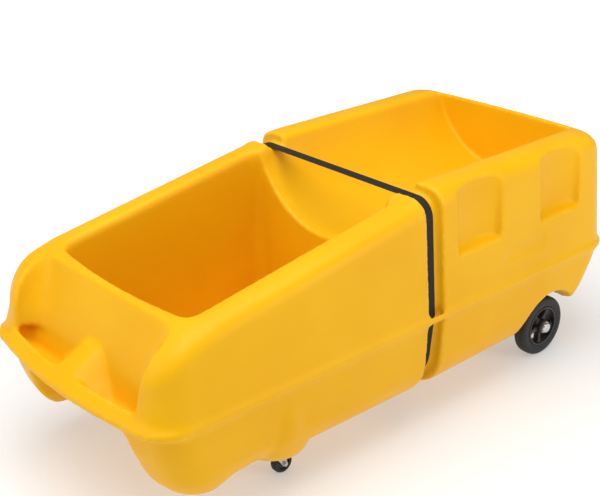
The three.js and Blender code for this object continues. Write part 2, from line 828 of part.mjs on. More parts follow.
// The strap's groove: a slab with the hoop left standing, and the band of the flange
// left as a bridge over it on both sides.
function grooveForm() {
  const from = grooveX - grooveWidth / 2;
  const to = grooveX + grooveWidth / 2;
  const reach = tubWidth / 2 + overrun;
  const slabTop = Math.max(rimPeakHeight, rearRimHeight) + overrun;
  const slab = block([from, -reach, 0], [to, reach, slabTop]);
  const hoop = pushed(hoopOutline(0), 'x', from - overrun, to + overrun);
  const bridges = [1, -1].map((side) => {
    const inner = halfWidth + flangeProud - bridgeThickness;
    const low = Math.min(side * inner, side * reach);
    const high = Math.max(side * inner, side * reach);
    return block([from - overrun, low, flangeFootHeight], [to + overrun, high, flangeTopHeight]);
  });
  const recessFoot = ratchetHeight - handleReach - handleEndRadius - recessMargin;
  const recess = block(
    [strapX - recessHalfWidth, ratchetFloorY, recessFoot],
    [strapX + recessHalfWidth, reach, ratchetHeight + toothTipRadius + recessMargin],
  );
  return slab.subtract(hoop).subtract(joined(bridges)).add(recess);
}

// Round housings for the casters, swelling out of the sides and closing in upwards.
function housingForm(side) {
  return stackOf(housingLevels.map(([z, forward, halfLength, inset, halfDepth]) => {
    const half = [];
    for (let step = 0; step < housingSteps; step += 1) {
      const angle = (Math.PI * (step + halfShare)) / housingSteps;
      half.push([halfLength * Math.cos(angle), halfDepth * Math.sin(angle)]);
    }
    const all = [...half, ...half.map(([x, y]) => [x, -y]).reverse()];
    const middle = side * (halfWidth - inset - halfDepth);
    return all.map(([x, y]) => [casterX - forward + x, middle + y, z]);
  }));
}

// A wheel arch narrows inwards, and its mouth opens towards the front.
function wheelArch(side) {
  const inner = halfWidth - bellyDraft - archDepth - tyreWidth;
  const outer = tubWidth / 2 + overrun;
  const circle = (radius, forward, rise, y) => {
    const points = [];
    for (let step = 0; step < archSteps; step += 1) {
      const angle = (Math.PI * 2 * step) / archSteps;
      const x = wheelX - forward + radius * Math.cos(angle);
      points.push([x, wheelRadius + rise + radius * Math.sin(angle), -side * y]);
    }
    return points;
  };
  const rings = [
    circle(archRadius, 0, 0, inner),
    circle(archMouthRadius, archMouthForward, archMouthRise, outer),
  ];
  return prismOf(side > 0 ? rings.reverse() : rings, ([x, z, back]) => [x, -back, z]);
}

function axleLug(side) {
  const y = side * axleSeatHalfSpan;
  const low = [wheelX - lugLength / 2, y - lugWidth / 2, wheelRadius];
  const high = [wheelX + lugLength / 2, y + lugWidth / 2, bellyAt(wheelX) + overrun];
  return block(low, high);
}

// The channel across the belly for the axle, wider where the spacers lie.
function axleSeat() {
  const centre = [wheelX, 0, wheelRadius];
  const bore = axleRadius + contactGap;
  const channel = rod(bore, -wheelHalfTrack, wheelHalfTrack, shaftSteps, 'y', centre);
  const from = axleSeatHalfSpan + lugWidth / 2;
  const wide = [[from, wheelHalfTrack], [-wheelHalfTrack, -from]].map(
    ([start, end]) => rod(spacerRadius + contactGap, start, end, shaftSteps, 'y', centre),
  );
  return joined([channel, ...wide]);
}

function screwHoles(places, top, depth) {
  const bore = screwRadius + contactGap;
  return joined(places.map(([x, y]) => rod(bore, 0, depth, screwHoleSteps, 'z', [x, y, top])));
}

const clampScrewReach = axleRadius + clampThickness + clampFoot / 2;
const clampScrewPlaces = [1, -1].flatMap((side) => [1, -1].map(
  (end) => [wheelX + end * clampScrewReach, side * axleSeatHalfSpan],
));
const casterScrewPlaces = [1, -1].map((side) => [[1, 1], [1, -1], [-1, 1], [-1, -1]].map(
  ([endX, endY]) => [
    casterX + (endX * casterScrewSpanX) / 2,
    side * casterHalfTrack + (endY * casterScrewSpanY) / 2,
  ],
));

function tubForm() {
  const sides = [1, -1];
  const pockets = sides.flatMap((side) => [0, 1].map(
    (index) => pocketForm(bulkheadX + firstPocketSetback + index * pocketPitch, side),
  ));
  const lower = lowerForm().subtract(legArch());
  const outer = joined([lower, flangeForm(), upperForm(), ...sides.map(housingForm)]);
  const cuts = [
    sumpForm(),
    cradleForm(),
    scoopForm(),
    grooveForm(),
    ...pockets,
    ...sides.map(plateForm),
    ...sides.map(wheelArch),
  ];
  const shell = outer.subtract(joined(cuts)).add(lumpForm());
  const lugs = joined(sides.map(axleLug));
  const holeDepth = screwDepth + overrun + contactGap;
  const holes = [
    screwHoles(clampScrewPlaces, wheelRadius - overrun, holeDepth),
    screwHoles(casterScrewPlaces.flat(), housingHeight - overrun, holeDepth),
  ];
  return shell.add(lugs).subtract(axleSeat()).subtract(joined(holes));
}

addPiece('tub', tubForm(), yellowFinish);

const spoolCentre = [strapX, ratchetY, ratchetHeight];

// The strap in two lengths: one lies under the tub, the other crosses over the bay and
// turns about the rim's edge on the -Y side.
const endBoltZ = ratchetHeight - frameLength;
const loopOuterRadius = endBoltRadius + contactGap + strapThickness;
const endBoltY = hoopSideAt(endBoltZ, contactGap) + loopOuterRadius;
const overEndHeight = ratchetHeight + toothTipRadius + strapThickness;

function lowerStrapPath(offset) {
  const side = hoopHalf(offset);
  const start = [hoopSideAt(endBoltZ, offset), endBoltZ];
  return [start, ...side.slice(hoopSteps + 1), ...mirroredPath(side)];
}

function overStrapPath(offset) {
  const start = [contactGap - hoopFlatHalf, hoopTop + offset];
  const end = [hoopSideAt(overEndHeight, offset), overEndHeight];
  return [start, ...hoopHalf(offset).slice(0, hoopSteps + 1), end];
}

function bandAlong(pathAt) {
  const outline = [...pathAt(contactGap), ...pathAt(contactGap + strapThickness).reverse()];
  return pushed(outline, 'x', strapX - strapWidth / 2, strapX + strapWidth / 2);
}

function strapLoop() {
  const centre = [strapX, endBoltY, endBoltZ];
  const half = strapWidth / 2;
  return ringOf(endBoltRadius + contactGap, loopOuterRadius, -half, half, loopSteps, 'x', centre);
}

function addStrap() {
  addPiece('strap_lower', bandAlong(lowerStrapPath).add(strapLoop()), webbingFinish);
  addPiece('strap_over', bandAlong(overStrapPath), webbingFinish);
  const half = strapWidth / 2;
  const wrap = ringOf(spoolRadius + contactGap, wrapRadius, -half, half, loopSteps, 'x', spoolCentre);
  addPiece('strap_wrap', wrap, webbingFinish);
}

// Places across the ratchet, measured out from the middle of the strap
const wheelFrom = strapWidth / 2 + ratchetClearance;
const wheelTo = wheelFrom + cheekThickness;
const frameFrom = wheelTo + ratchetClearance;
const frameTo = frameFrom + cheekThickness;
const handleFrom = frameTo + ratchetClearance * 3;
const handleTo = handleFrom + cheekThickness;

function arcPoints(centreY, centreZ, radius, from, to, steps) {
  const points = [];
  for (let step = 0; step <= steps; step += 1) {
    const angle = from + ((to - from) * step) / steps;
    points.push([centreY + radius * Math.cos(angle), centreZ + radius * Math.sin(angle)]);
  }
  return points;
}

function bothSides(outline, from, to) {
  const right = pushed(outline, 'x', strapX + from, strapX + to);
  return right.add(pushed(outline, 'x', strapX - to, strapX - from));
}

function ratchetWheelOutline() {
  const points = [];
  const pointAt = (radius, angle) => [
    ratchetY + radius * Math.cos(angle), ratchetHeight + radius * Math.sin(angle),
  ];
  for (let tooth = 0; tooth < toothCount; tooth += 1) {
    const angle = (2 * Math.PI * (tooth - toothFlankShare / 2)) / toothCount - Math.PI / 2;
    const next = (2 * Math.PI * (tooth + toothFlankShare / 2)) / toothCount - Math.PI / 2;
    points.push(pointAt(toothTipRadius, angle));
    points.push(pointAt(toothRootRadius, angle));
    points.push(pointAt(toothRootRadius, next));
  }
  return points;
}

function spoolForm() {
  const drum = rod(spoolRadius, -wheelTo, wheelTo, shaftSteps, 'x', spoolCentre);
  const reach = handleTo + ratchetClearance;
  const shaft = rod(spoolShaftRadius, -reach, reach, loopSteps, 'x', spoolCentre);
  const ends = [-reach - spoolEndThickness, reach].map(
    (from) => rod(spoolEndRadius, from, from + spoolEndThickness, loopSteps, 'x', spoolCentre),
  );
  const slot = block(
    [strapX - strapWidth / 2, ratchetY - spoolSlot / 2, ratchetHeight - spoolRadius * 2],
    [strapX + strapWidth / 2, ratchetY + spoolSlot / 2, ratchetHeight + spoolRadius * 2],
  );
  const wheels = bothSides(ratchetWheelOutline(), wheelFrom, wheelTo);
  return joined([drum, shaft, ...ends, wheels]).subtract(slot);
}

const holeReach = handleTo + overrun;

function spoolHole() {
  const bore = spoolShaftRadius + contactGap;
  return rod(bore, -holeReach, holeReach, loopSteps, 'x', spoolCentre);
}

function frameForm() {
  const floorY = ratchetFloorY + contactGap;
  const outline = [
    [floorY, endBoltZ - frameEndRadius],
    ...arcPoints(endBoltY, endBoltZ, frameEndRadius, -Math.PI / 2, 0, frameArcSteps),
    ...arcPoints(ratchetY, ratchetHeight, frameSpoolRadius, 0, Math.PI / 2, frameArcSteps),
    [floorY, ratchetHeight + frameSpoolRadius],
  ];
  const cheeks = bothSides(outline, frameFrom, frameTo);
  const floorTop = pawlFootZ - pawlTravel;
  const floor = block(
    [strapX - frameTo, floorY, floorTop - frameFloorLength],
    [strapX + frameTo, floorY + cheekThickness, floorTop + frameFloorLength / 2],
  );
  const seatHalf = springRadius * springSeatWidthShare;
  const seat = block(
    [strapX - frameTo, ratchetY - seatHalf, springSeatZ - springSeatThickness],
    [strapX + frameTo, ratchetY + seatHalf, springSeatZ],
  );
  const slotHalf = pawlThickness / 2 + contactGap;
  const slotFoot = pawlWingZ - pawlTravel - contactGap * 2;
  const slot = block(
    [strapX - frameTo - overrun, ratchetY - slotHalf, slotFoot],
    [strapX + frameTo + overrun, ratchetY + slotHalf, pawlWingZ + pawlWingLength + contactGap],
  );
  const boltCentre = [strapX, endBoltY, endBoltZ];
  const boltHole = rod(endBoltRadius + contactGap, -holeReach, holeReach, boltSteps, 'x', boltCentre);
  return joined([cheeks, floor, seat]).subtract(slot).subtract(spoolHole()).subtract(boltHole);
}

const pawlTipZ = ratchetHeight - toothRootRadius - contactGap;
const pawlFootZ = pawlTipZ - pawlLength;
const pawlWingZ = pawlFootZ + pawlWingRise;
const springSeatZ = pawlFootZ - springTurns * springPitch;

function pawlForm() {
  const low = ratchetY - pawlThickness / 2;
  const blade = block(
    [strapX - wheelTo, low, pawlFootZ],
    [strapX + wheelTo, low + pawlThickness, pawlTipZ],
  );
  const wings = block(
    [strapX - frameTo - contactGap, low, pawlWingZ],
    [strapX + frameTo + contactGap, low + pawlThickness, pawlWingZ + pawlWingLength],
  );
  return blade.add(wings);
}

class SpringPath extends THREE.Curve {
  getPoint(share) {
    const angle = share * springTurns * 2 * Math.PI;
    const low = springSeatZ + contactGap + springWireRadius;
    const high = pawlFootZ - contactGap - springWireRadius;
    return new THREE.Vector3(
      strapX + springRadius * Math.cos(angle),
      ratchetY + springRadius * Math.sin(angle),
      low + (high - low) * share,
    );
  }
}

function springForm() {
  const wire = new THREE.Shape();
  for (let step = 0; step < springWireSteps; step += 1) {
    const angle = (2 * Math.PI * step) / springWireSteps;
    const point = [springWireRadius * Math.cos(angle), springWireRadius * Math.sin(angle)];
    if (step === 0) {
      wire.moveTo(...point);
    } else {
      wire.lineTo(...point);
    }
  }
  wire.closePath();
  const steps = springTurns * springTurnSteps;
  return solidOf(new THREE.ExtrudeGeometry(wire, { steps, extrudePath: new SpringPath() }));
}

function handleForm() {
  const endY = ratchetY + handleLift;
  const endZ = ratchetHeight - handleReach;
  const lean = Math.atan2(handleLift, handleReach);
  const outline = [
    ...arcPoints(ratchetY, ratchetHeight, handleAxisRadius, -lean, Math.PI - lean, endArcSteps),
    [ratchetY + handleLift / 2 - handleWaist, ratchetHeight - handleReach / 2],
    ...arcPoints(endY, endZ, handleEndRadius, Math.PI - lean, 2 * Math.PI - lean, endArcSteps),
    [ratchetY + handleLift / 2 + handleWaist, ratchetHeight - handleReach / 2],
  ];
  const cheeks = bothSides(outline, handleFrom, handleTo);
  const bar = rod(gripBarRadius, -handleTo, handleTo, boltSteps, 'x', [strapX, endY, endZ]);
  return cheeks.add(bar).subtract(spoolHole());
}

function gripForm() {
  const centre = [strapX, ratchetY + handleLift, ratchetHeight - handleReach];
  const reach = handleFrom - contactGap;
  return ringOf(gripBarRadius + contactGap, gripRadius, -reach, reach, loopSteps, 'x', centre);
}

function endBoltForm() {
  const centre = [strapX, endBoltY, endBoltZ];
  const reach = frameTo + contactGap;
  const shank = rod(endBoltRadius, -reach, reach, boltSteps, 'x', centre);
  const heads = [-reach - endBoltHeadThickness, reach].map(
    (from) => rod(endBoltHeadRadius, from, from + endBoltHeadThickness, boltSteps, 'x', centre),
  );
  return joined([shank, ...heads]);
}

function addRatchet() {
  addPiece('ratchet_frame', frameForm(), zincFinish);
  addPiece('ratchet_spool', spoolForm(), steelFinish);
  addPiece('ratchet_pawl', pawlForm(), steelFinish);
  addPiece('pawl_spring', springForm(), steelFinish);
  addPiece('ratchet_handle', handleForm(), zincFinish);
  addPiece('handle_grip', gripForm(), gripFinish);
  addPiece('ratchet_end_bolt', endBoltForm(), zincFinish);
}

// Rear axle, its clamps, and the two wheels
const hubHalf = tyreWidth / 2 + hubOverhang;
const hubOuterY = wheelHalfTrack + hubHalf;
const hubInnerY = wheelHalfTrack - hubHalf;
const capFrom = hubOuterY + washerThickness + contactGap * 2;
const axleHalf = capFrom + axleEndSpare;
const bushRadius = axleRadius + runningGap + bushWall;
const tyreBoreRadius = wheelRadius - tyreDepth;

function sideName(side) {
  return side > 0 ? 'left' : 'right';
}

function tyreForm(side) {
  const half = tyreWidth / 2;
  const profile = tyreProfileShares.map(
    ([radiusShare, widthShare]) => [tyreBoreRadius + tyreDepth * radiusShare, half * widthShare],
  );
  const centre = [wheelX, side * wheelHalfTrack, wheelRadius];
  return turned([...profile, profile[0]], tyreSteps, 'y', centre);
}

function rimForm(side) {
  const centre = [wheelX, side * wheelHalfTrack, wheelRadius];
  const outer = tyreBoreRadius - contactGap;
  const half = tyreWidth / 2 - contactGap * 4;
  const ring = ringOf(outer - rimWall, outer, -half, half, tyreSteps, 'y', centre);
  const hub = ringOf(bushRadius + contactGap, hubRadius, -hubHalf, hubHalf, hubSteps, 'y', centre);
  const spokes = [];
  for (let index = 0; index < spokeCount; index += 1) {
    const geometry = new THREE.BoxGeometry(outer - hubRadius, spokeDepth, spokeWidth);
    geometry.translate((outer + hubRadius - rimWall) / 2, 0, 0);
    geometry.rotateY((2 * Math.PI * (index + spokeTurnShare)) / spokeCount);
    geometry.translate(...centre);
    spokes.push(solidOf(geometry));
  }
  return joined([ring, hub, ...spokes]);
}

function axleCapForm(side) {
  const bore = axleRadius + contactGap;
  const outer = capProfileShares.map(([out, up]) => [capRadius * out, capHeight * up]);
  const inner = [[0, capHeight], [0, capHeight - capWall], [bore, capHeight - capWall], [bore, 0]];
  const profile = [[bore, 0], ...outer, ...inner];
  const placed = side > 0 ? profile : profile.map(([radius, place]) => [radius, -place]).reverse();
  return turned(placed, shaftSteps, 'y', [wheelX, side * capFrom, wheelRadius]);
}

function clampForm(side) {
  const top = wheelRadius - contactGap;
  const inner = axleRadius + contactGap;
  const outer = inner + clampThickness;
  const reach = outer + clampFoot;
  const footX = Math.sqrt(outer ** 2 - clampThickness ** 2);
  const belowFeet = arcPoints(wheelX, top, outer, -Math.PI, 0, clampArcSteps).filter(
    ([, z]) => z < top - clampThickness - contactGap,
  );
  const outline = [
    [wheelX + inner, top],
    ...arcPoints(wheelX, top, inner, 0, -Math.PI, clampArcSteps).slice(1, -1),
    [wheelX - inner, top],
    [wheelX - reach, top],
    [wheelX - reach, top - clampThickness],
    [wheelX - footX, top - clampThickness],
    ...belowFeet,
    [wheelX + footX, top - clampThickness],
    [wheelX + reach, top - clampThickness],
    [wheelX + reach, top],
  ];
  const middle = side * axleSeatHalfSpan;
  const plate = pushed(outline, 'y', middle - clampWidth / 2, middle + clampWidth / 2);
  const places = clampScrewPlaces.filter(([, y]) => y * side > 0);
  return plate.subtract(screwHoles(places, top - overrun, overrun * 2));
}

function screwForm(x, y, seat, top) {
  const headTop = seat - contactGap;
  const shank = rod(screwRadius, headTop, top, screwSteps, 'z', [x, y, 0]);
  const head = rod(screwHeadRadius, headTop - screwHeadHeight, headTop, hexSides, 'z', [x, y, 0]);
  return shank.add(head);
}

function addAxle() {
  const centre = [wheelX, 0, wheelRadius];
  const bore = axleRadius + contactGap;
  addPiece('rear_axle', rod(axleRadius, -axleHalf, axleHalf, shaftSteps, 'y', centre), steelFinish);
  clampScrewPlaces.forEach(([x, y], index) => {
    const seat = wheelRadius - contactGap - clampThickness;
    addPiece(`clamp_screw_${index + 1}`, screwForm(x, y, seat, wheelRadius + screwDepth), zincFinish);
  });
  for (const side of [1, -1]) {
    const name = sideName(side);
    const ring = (inner, outer, near, far) => {
      const [from, to] = side > 0 ? [near, far] : [-far, -near];
      return ringOf(inner, outer, from, to, shaftSteps, 'y', centre);
    };
    addPiece(`axle_clamp_${name}`, clampForm(side), zincFinish);
    const spacerFrom = axleSeatHalfSpan + lugWidth / 2 + contactGap;
    const spacerTo = hubInnerY - washerThickness - contactGap * 2;
    const bushBore = axleRadius + runningGap;
    const innerWasher = ring(bore, washerRadius, spacerTo + contactGap, hubInnerY - contactGap);
    const outerWasher = ring(bore, washerRadius, hubOuterY + contactGap, capFrom - contactGap);
    addPiece(`axle_spacer_${name}`, ring(bore, spacerRadius, spacerFrom, spacerTo), nylonFinish);
    addPiece(`inner_washer_${name}`, innerWasher, zincFinish);
    addPiece(`outer_washer_${name}`, outerWasher, zincFinish);
    addPiece(`rear_bush_${name}`, ring(bushBore, bushRadius, hubInnerY, hubOuterY), nylonFinish);
    addPiece(`rear_rim_${name}`, rimForm(side), rimFinish);
    addPiece(`rear_tyre_${name}`, tyreForm(side), tyreFinish);
    addPiece(`axle_cap_${name}`, axleCapForm(side), zincFinish);
  }
}

// A swivel caster: plate with its race, kingpin, fork, wheel, axle bolt and nut
const casterPlateTop = housingHeight - contactGap;
const casterPlateFoot = casterPlateTop - casterPlateThickness;
const raceFoot = casterPlateFoot - casterRaceHeight;
const forkTop = raceFoot - contactGap;
const forkFoot = forkTop - forkThickness;

function kingpinBore(x, y) {
  const radius = kingpinRadius + contactGap;
  return rod(radius, forkFoot - overrun, casterPlateTop + overrun, boltSteps, 'z', [x, y, 0]);
}

function casterPlateForm(x, y, places) {
  const corner = casterPlateThickness * 2;
  const halfX = casterPlateLength / 2;
  const halfY = casterPlateWidth / 2;
  const outline = [
    [halfX, corner - halfY], [halfX, halfY - corner],
    [halfX - corner, halfY], [corner - halfX, halfY],
    [-halfX, halfY - corner], [-halfX, corner - halfY],
    [corner - halfX, -halfY], [halfX - corner, -halfY],
  ].map(([px, py]) => [x + px, y + py]);
  const plate = pushed(outline, 'z', casterPlateFoot, casterPlateTop);
  const race = rod(casterRaceRadius, raceFoot, casterPlateFoot + contactGap, hubSteps, 'z', [x, y, 0]);
  const holes = screwHoles(places, casterPlateFoot - overrun, overrun * 2);
  return plate.add(race).subtract(kingpinBore(x, y)).subtract(holes);
}

function kingpinForm(x, y) {
  const headTop = forkFoot - contactGap;
  const shank = rod(kingpinRadius, headTop, casterPlateTop - contactGap, boltSteps, 'z', [x, y, 0]);
  const head = rod(kingpinRadius * 2, headTop - kingpinHeadHeight, headTop, boltSteps, 'z', [x, y, 0]);
  return shank.add(head);
}

function forkForm(x, y) {
  const wheelZ = casterWheelRadius;
  const axleX = x + casterTrail;
  const frontX = x - casterRaceRadius * forkFrontShare;
  const rearX = x + casterRaceRadius * forkRearShare;
  const outline = [
    [frontX, forkTop],
    [frontX, forkFoot - forkFrontDrop],
    ...arcPoints(axleX, wheelZ, forkEndRadius, Math.PI * forkTurnShare, Math.PI * 2, endArcSteps),
    [x + casterRaceRadius, forkFoot - forkRearDrop],
    [rearX, forkTop],
  ];
  const inner = forkInnerWidth / 2;
  const outer = inner + forkThickness;
  const leg = (from) => pushed(outline, 'y', y + from, y + from + forkThickness);
  const crown = rod(casterRaceRadius, forkFoot, forkTop, hubSteps, 'z', [x, y, 0]);
  const bridge = block([frontX, y - outer, forkFoot], [rearX, y + outer, forkTop]);
  const axleHole = casterAxleRadius + contactGap;
  const axleBore = rod(axleHole, -outer * 2, outer * 2, boltSteps, 'y', [axleX, y, wheelZ]);
  const body = joined([leg(inner), leg(-outer), crown, bridge]);
  return body.subtract(kingpinBore(x, y)).subtract(axleBore);
}

function casterCoreForm(centre) {
  const outer = casterWheelRadius - casterTreadDepth - contactGap;
  const half = casterWheelWidth / 2;
  const bore = casterAxleRadius + runningGap;
  const rimInner = outer - casterTreadDepth / 2;
  const upper = [
    [outer, half * casterRimShare],
    [rimInner, half * casterRimShare],
    [rimInner, half * casterWebShare],
    [casterHubRadius, half * casterWebShare],
    [casterHubRadius, half + casterHubOverhang],
    [bore, half + casterHubOverhang],
  ];
  const lower = upper.map(([radius, place]) => [radius, -place]).reverse();
  return turned([...lower, ...upper, lower[0]], hubSteps, 'y', centre);
}

function casterTreadForm(centre) {
  const inner = casterWheelRadius - casterTreadDepth;
  const half = casterWheelWidth / 2;
  const lower = casterTreadShares.map(([out, wide]) => [inner + casterTreadDepth * out, -half * wide]);
  const upper = lower.map(([radius, place]) => [radius, -place]).reverse();
  return turned([...lower, ...upper, lower[0]], hubSteps, 'y', centre);
}

function casterBoltForm(centre) {
  const reach = forkInnerWidth / 2 + forkThickness + contactGap;
  const shankEnd = reach + casterNutHeight + casterHubOverhang;
  const shank = rod(casterAxleRadius, -shankEnd, reach + contactGap, boltSteps, 'y', centre);
  const headRadius = casterAxleRadius * casterHeadShare;
  const head = rod(headRadius, reach, reach + casterNutHeight, hexSides, 'y', centre);
  return shank.add(head);
}

function casterNutForm(centre) {
  const reach = forkInnerWidth / 2 + forkThickness + contactGap;
  const radius = casterAxleRadius * casterNutShare;
  const nut = rod(radius, -reach - casterNutHeight, -reach, hexSides, 'y', centre);
  return nut.subtract(rod(casterAxleRadius + contactGap, -reach * 2, 0, boltSteps, 'y', centre));
}

function addCasters() {
  [1, -1].forEach((side, index) => {
    const name = sideName(side);
    const y = side * casterHalfTrack;
    const centre = [casterX + casterTrail, y, casterWheelRadius];
    const places = casterScrewPlaces[index];
    addPiece(`caster_plate_${name}`, casterPlateForm(casterX, y, places), zincFinish);
    addPiece(`caster_kingpin_${name}`, kingpinForm(casterX, y), steelFinish);
    addPiece(`caster_fork_${name}`, forkForm(casterX, y), zincFinish);
    addPiece(`caster_core_${name}`, casterCoreForm(centre), rimFinish);
    addPiece(`caster_tread_${name}`, casterTreadForm(centre), tyreFinish);
    addPiece(`caster_bolt_${name}`, casterBoltForm(centre), zincFinish);
    addPiece(`caster_nut_${name}`, casterNutForm(centre), zincFinish);
    places.forEach(([x, placeY], place) => {
      const screw = screwForm(x, placeY, casterPlateFoot, housingHeight + screwDepth);
      addPiece(`caster_screw_${name}_${place + 1}`, screw, zincFinish);
    });
  });
}

addStrap();
addRatchet();
addAxle();
addCasters();

export default part;
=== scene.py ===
# %% [markdown]
# A wheeled tub of moulded plastic, with a round cradle for a heavy load and a sump for spills.
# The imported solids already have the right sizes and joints, so this script loads them as a fixed frame.
# It then builds the looks on top: soft moulded edges, woven webbing, worn rubber and plated steel.

import json
import math

import bmesh
import bpy
import numpy as np
from mathutils import Matrix, Vector


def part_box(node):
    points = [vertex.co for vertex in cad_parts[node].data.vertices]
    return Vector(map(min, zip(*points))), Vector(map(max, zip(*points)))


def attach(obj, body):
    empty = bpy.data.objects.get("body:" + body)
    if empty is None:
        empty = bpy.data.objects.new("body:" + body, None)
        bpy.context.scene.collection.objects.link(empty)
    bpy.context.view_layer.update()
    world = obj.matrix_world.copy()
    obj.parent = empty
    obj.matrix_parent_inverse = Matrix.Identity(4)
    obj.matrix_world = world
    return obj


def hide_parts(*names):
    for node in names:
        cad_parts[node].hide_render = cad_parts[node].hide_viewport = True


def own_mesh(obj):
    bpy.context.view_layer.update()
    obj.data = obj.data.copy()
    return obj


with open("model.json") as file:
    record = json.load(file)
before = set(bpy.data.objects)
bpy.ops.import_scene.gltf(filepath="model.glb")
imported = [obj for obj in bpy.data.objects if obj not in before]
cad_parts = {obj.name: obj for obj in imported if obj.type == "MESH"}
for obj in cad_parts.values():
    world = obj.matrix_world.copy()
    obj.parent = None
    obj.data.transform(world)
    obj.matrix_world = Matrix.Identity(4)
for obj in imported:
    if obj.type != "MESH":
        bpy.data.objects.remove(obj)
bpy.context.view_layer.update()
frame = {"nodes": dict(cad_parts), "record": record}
print("solids:", len(frame["nodes"]))

# %% [markdown]
# The camera stands where the picture was taken, off the push-bar corner and well above the rim.
# Its place came from matching known corners of the tub, so the view can be given as plain angles:
# which way it looks round the floor, how far it looks down, and how far it is rolled.

# %% Camera
IMAGE_WIDTH = 600
FOCAL_PIXELS = 1136.7
CAMERA_PLACE = Vector((-2.0838, -2.3171, 1.8510))
LOOK_ROUND = math.radians(49.22)
LOOK_DOWN = math.radians(23.862)
LOOK_ROLL = math.radians(-1.073)


def camera_axes(turn, down, roll):
    """The camera's right, up and backward directions."""
    forward = Vector((math.cos(turn) * math.cos(down), math.sin(turn) * math.cos(down), -math.sin(down)))
    level = Vector((math.sin(turn), -math.cos(turn), 0))
    above = level.cross(forward)
    right = math.cos(roll) * level + math.sin(roll) * above
    return right, right.cross(forward), -forward


lens = bpy.data.cameras.new("photo_camera")
lens.sensor_width = 36
lens.lens = FOCAL_PIXELS * lens.sensor_width / IMAGE_WIDTH
camera = bpy.data.objects.new("photo_camera", lens)
bpy.context.scene.collection.objects.link(camera)
axes = Matrix(camera_axes(LOOK_ROUND, LOOK_DOWN, LOOK_ROLL)).transposed()
camera.matrix_world = Matrix.Translation(CAMERA_PLACE) @ axes.to_4x4()
bpy.context.scene.camera = camera
print("lens:", round(lens.lens, 2), "mm")

# %% [markdown]
# A finish is a small web of nodes. Written out link by link it is hard to read,
# so a Wire stands for one socket, and sums on wires add the Math nodes.
# A Finish makes the material and has one method for every other node.

# %% Wires and finishes
class Wire:
    """The output of a node, which can be added, taken away and multiplied."""

    def __init__(self, finish, socket):
        self.finish = finish
        self.socket = socket

    def _sum(self, operation, first, second):
        return self.finish.node("ShaderNodeMath", {"operation": operation}, {0: first, 1: second})

    def __add__(self, other):
        return self._sum("ADD", self, other)

    def __sub__(self, other):
        return self._sum("SUBTRACT", self, other)

    def __rsub__(self, other):
        return self._sum("SUBTRACT", other, self)

    def __mul__(self, other):
        return self._sum("MULTIPLY", self, other)

    __radd__ = __add__
    __rmul__ = __mul__


class Finish:
    """One material and its nodes."""

    def __init__(self, name, **shader):
        self.material = bpy.data.materials.new(name)
        self.material.use_nodes = True
        self.tree = self.material.node_tree
        self.tree.nodes.clear()
        surface = self.node("ShaderNodeBsdfPrincipled", {}, shader)
        self.shader = surface.socket.node
        self.node("ShaderNodeOutputMaterial", {}, {"Surface": surface})

    def node(self, kind, settings, sockets, out=0):
        """Adds a node: its settings go first, then the values or wires of its sockets."""
        made = self.tree.nodes.new(kind)
        for name, value in settings.items():
            setattr(made, name, value)
        for name, value in sockets.items():
            self.feed(made.inputs[name], value)
        return Wire(self, made.outputs[out]) if made.outputs else None

    def feed(self, socket, value):
        """Links a wire to a socket, or sets the socket's own value."""
        if isinstance(value, Wire):
            self.tree.links.new(value.socket, socket)
        elif socket.type == "RGBA":
            socket.default_value = (*value, 1)
        else:
            socket.default_value = value

    def drive(self, **sockets):
        """Feeds sockets of the surface shader, with _ for the spaces in their names."""
        for name, value in sockets.items():
            self.feed(self.shader.inputs[name.replace("_", " ")], value)

    def place(self):
        """Metres in the part's own frame."""
        return self.node("ShaderNodeTexCoord", {}, {}, "Object")

    def noise(self, scale, detail=3.0, roughness=0.5, stretch=(1, 1, 1)):
        """Smooth noise from 0 to 1, at so many features a metre."""
        seen = self.node("ShaderNodeMapping", {}, {"Vector": self.place(), "Scale": stretch})
        sockets = {"Vector": seen, "Scale": scale, "Detail": detail, "Roughness": roughness}
        return self.node("ShaderNodeTexNoise", {}, sockets)

    def band(self, value, low, high, bottom=0.0, top=1.0):
        """Value taken from low..high to bottom..top, and held at the ends."""
        sockets = {"Value": value, "From Min": low, "From Max": high, "To Min": bottom, "To Max": top}
        return self.node("ShaderNodeMapRange", {"clamp": True}, sockets)

    def blend(self, share, first, second):
        """A colour between two colours."""
        sockets = {"Factor": share, 6: first, 7: second}
        return self.node("ShaderNodeMix", {"data_type": "RGBA"}, sockets, 2)

    def bump(self, height, depth, strength=1.0):
        """A surface direction from a height of 0 to 1 that is depth metres deep."""
        return self.node("ShaderNodeBump", {}, {"Height": height, "Distance": depth, "Strength": strength})


# %% [markdown]
# The tub is polyethylene, moulded by tumbling powder in a hot mould.
# Its colour runs right through, so it varies only faintly, but its skin has a fine orange-peel
# and the corners that get knocked turn paler and duller.

# %% Moulded plastic
PLASTIC = (0.86, 0.455, 0.004)
PLASTIC_DEEP = (0.83, 0.415, 0.003)
PLASTIC_RUBBED = (0.90, 0.53, 0.03)


def moulded_plastic():
    """The tub's yellow skin."""
    skin = Finish("moulded_yellow", **{"Specular IOR Level": 0.15})
    drift = skin.noise(3.0, 4.0)
    rub = skin.band(skin.node("ShaderNodeAttribute", {"attribute_name": "knock"}, {}, "Fac"), 0.25, 0.9)
    grain = skin.noise(60.0, 5.0, 0.65)
    worn = rub * skin.band(grain, 0.4, 0.65)
    colour = skin.blend(skin.band(drift, 0.35, 0.65), PLASTIC, PLASTIC_DEEP)
    skin.drive(Base_Color=skin.blend(worn * 0.5, colour, PLASTIC_RUBBED))
    skin.drive(Roughness=skin.band(skin.noise(14.0, 4.0), 0.3, 0.7, 0.33, 0.46) + worn * 0.12)
    peel = skin.noise(260.0, 2.0)
    skin.drive(Normal=skin.bump(peel, 0.00018))
    return skin.material


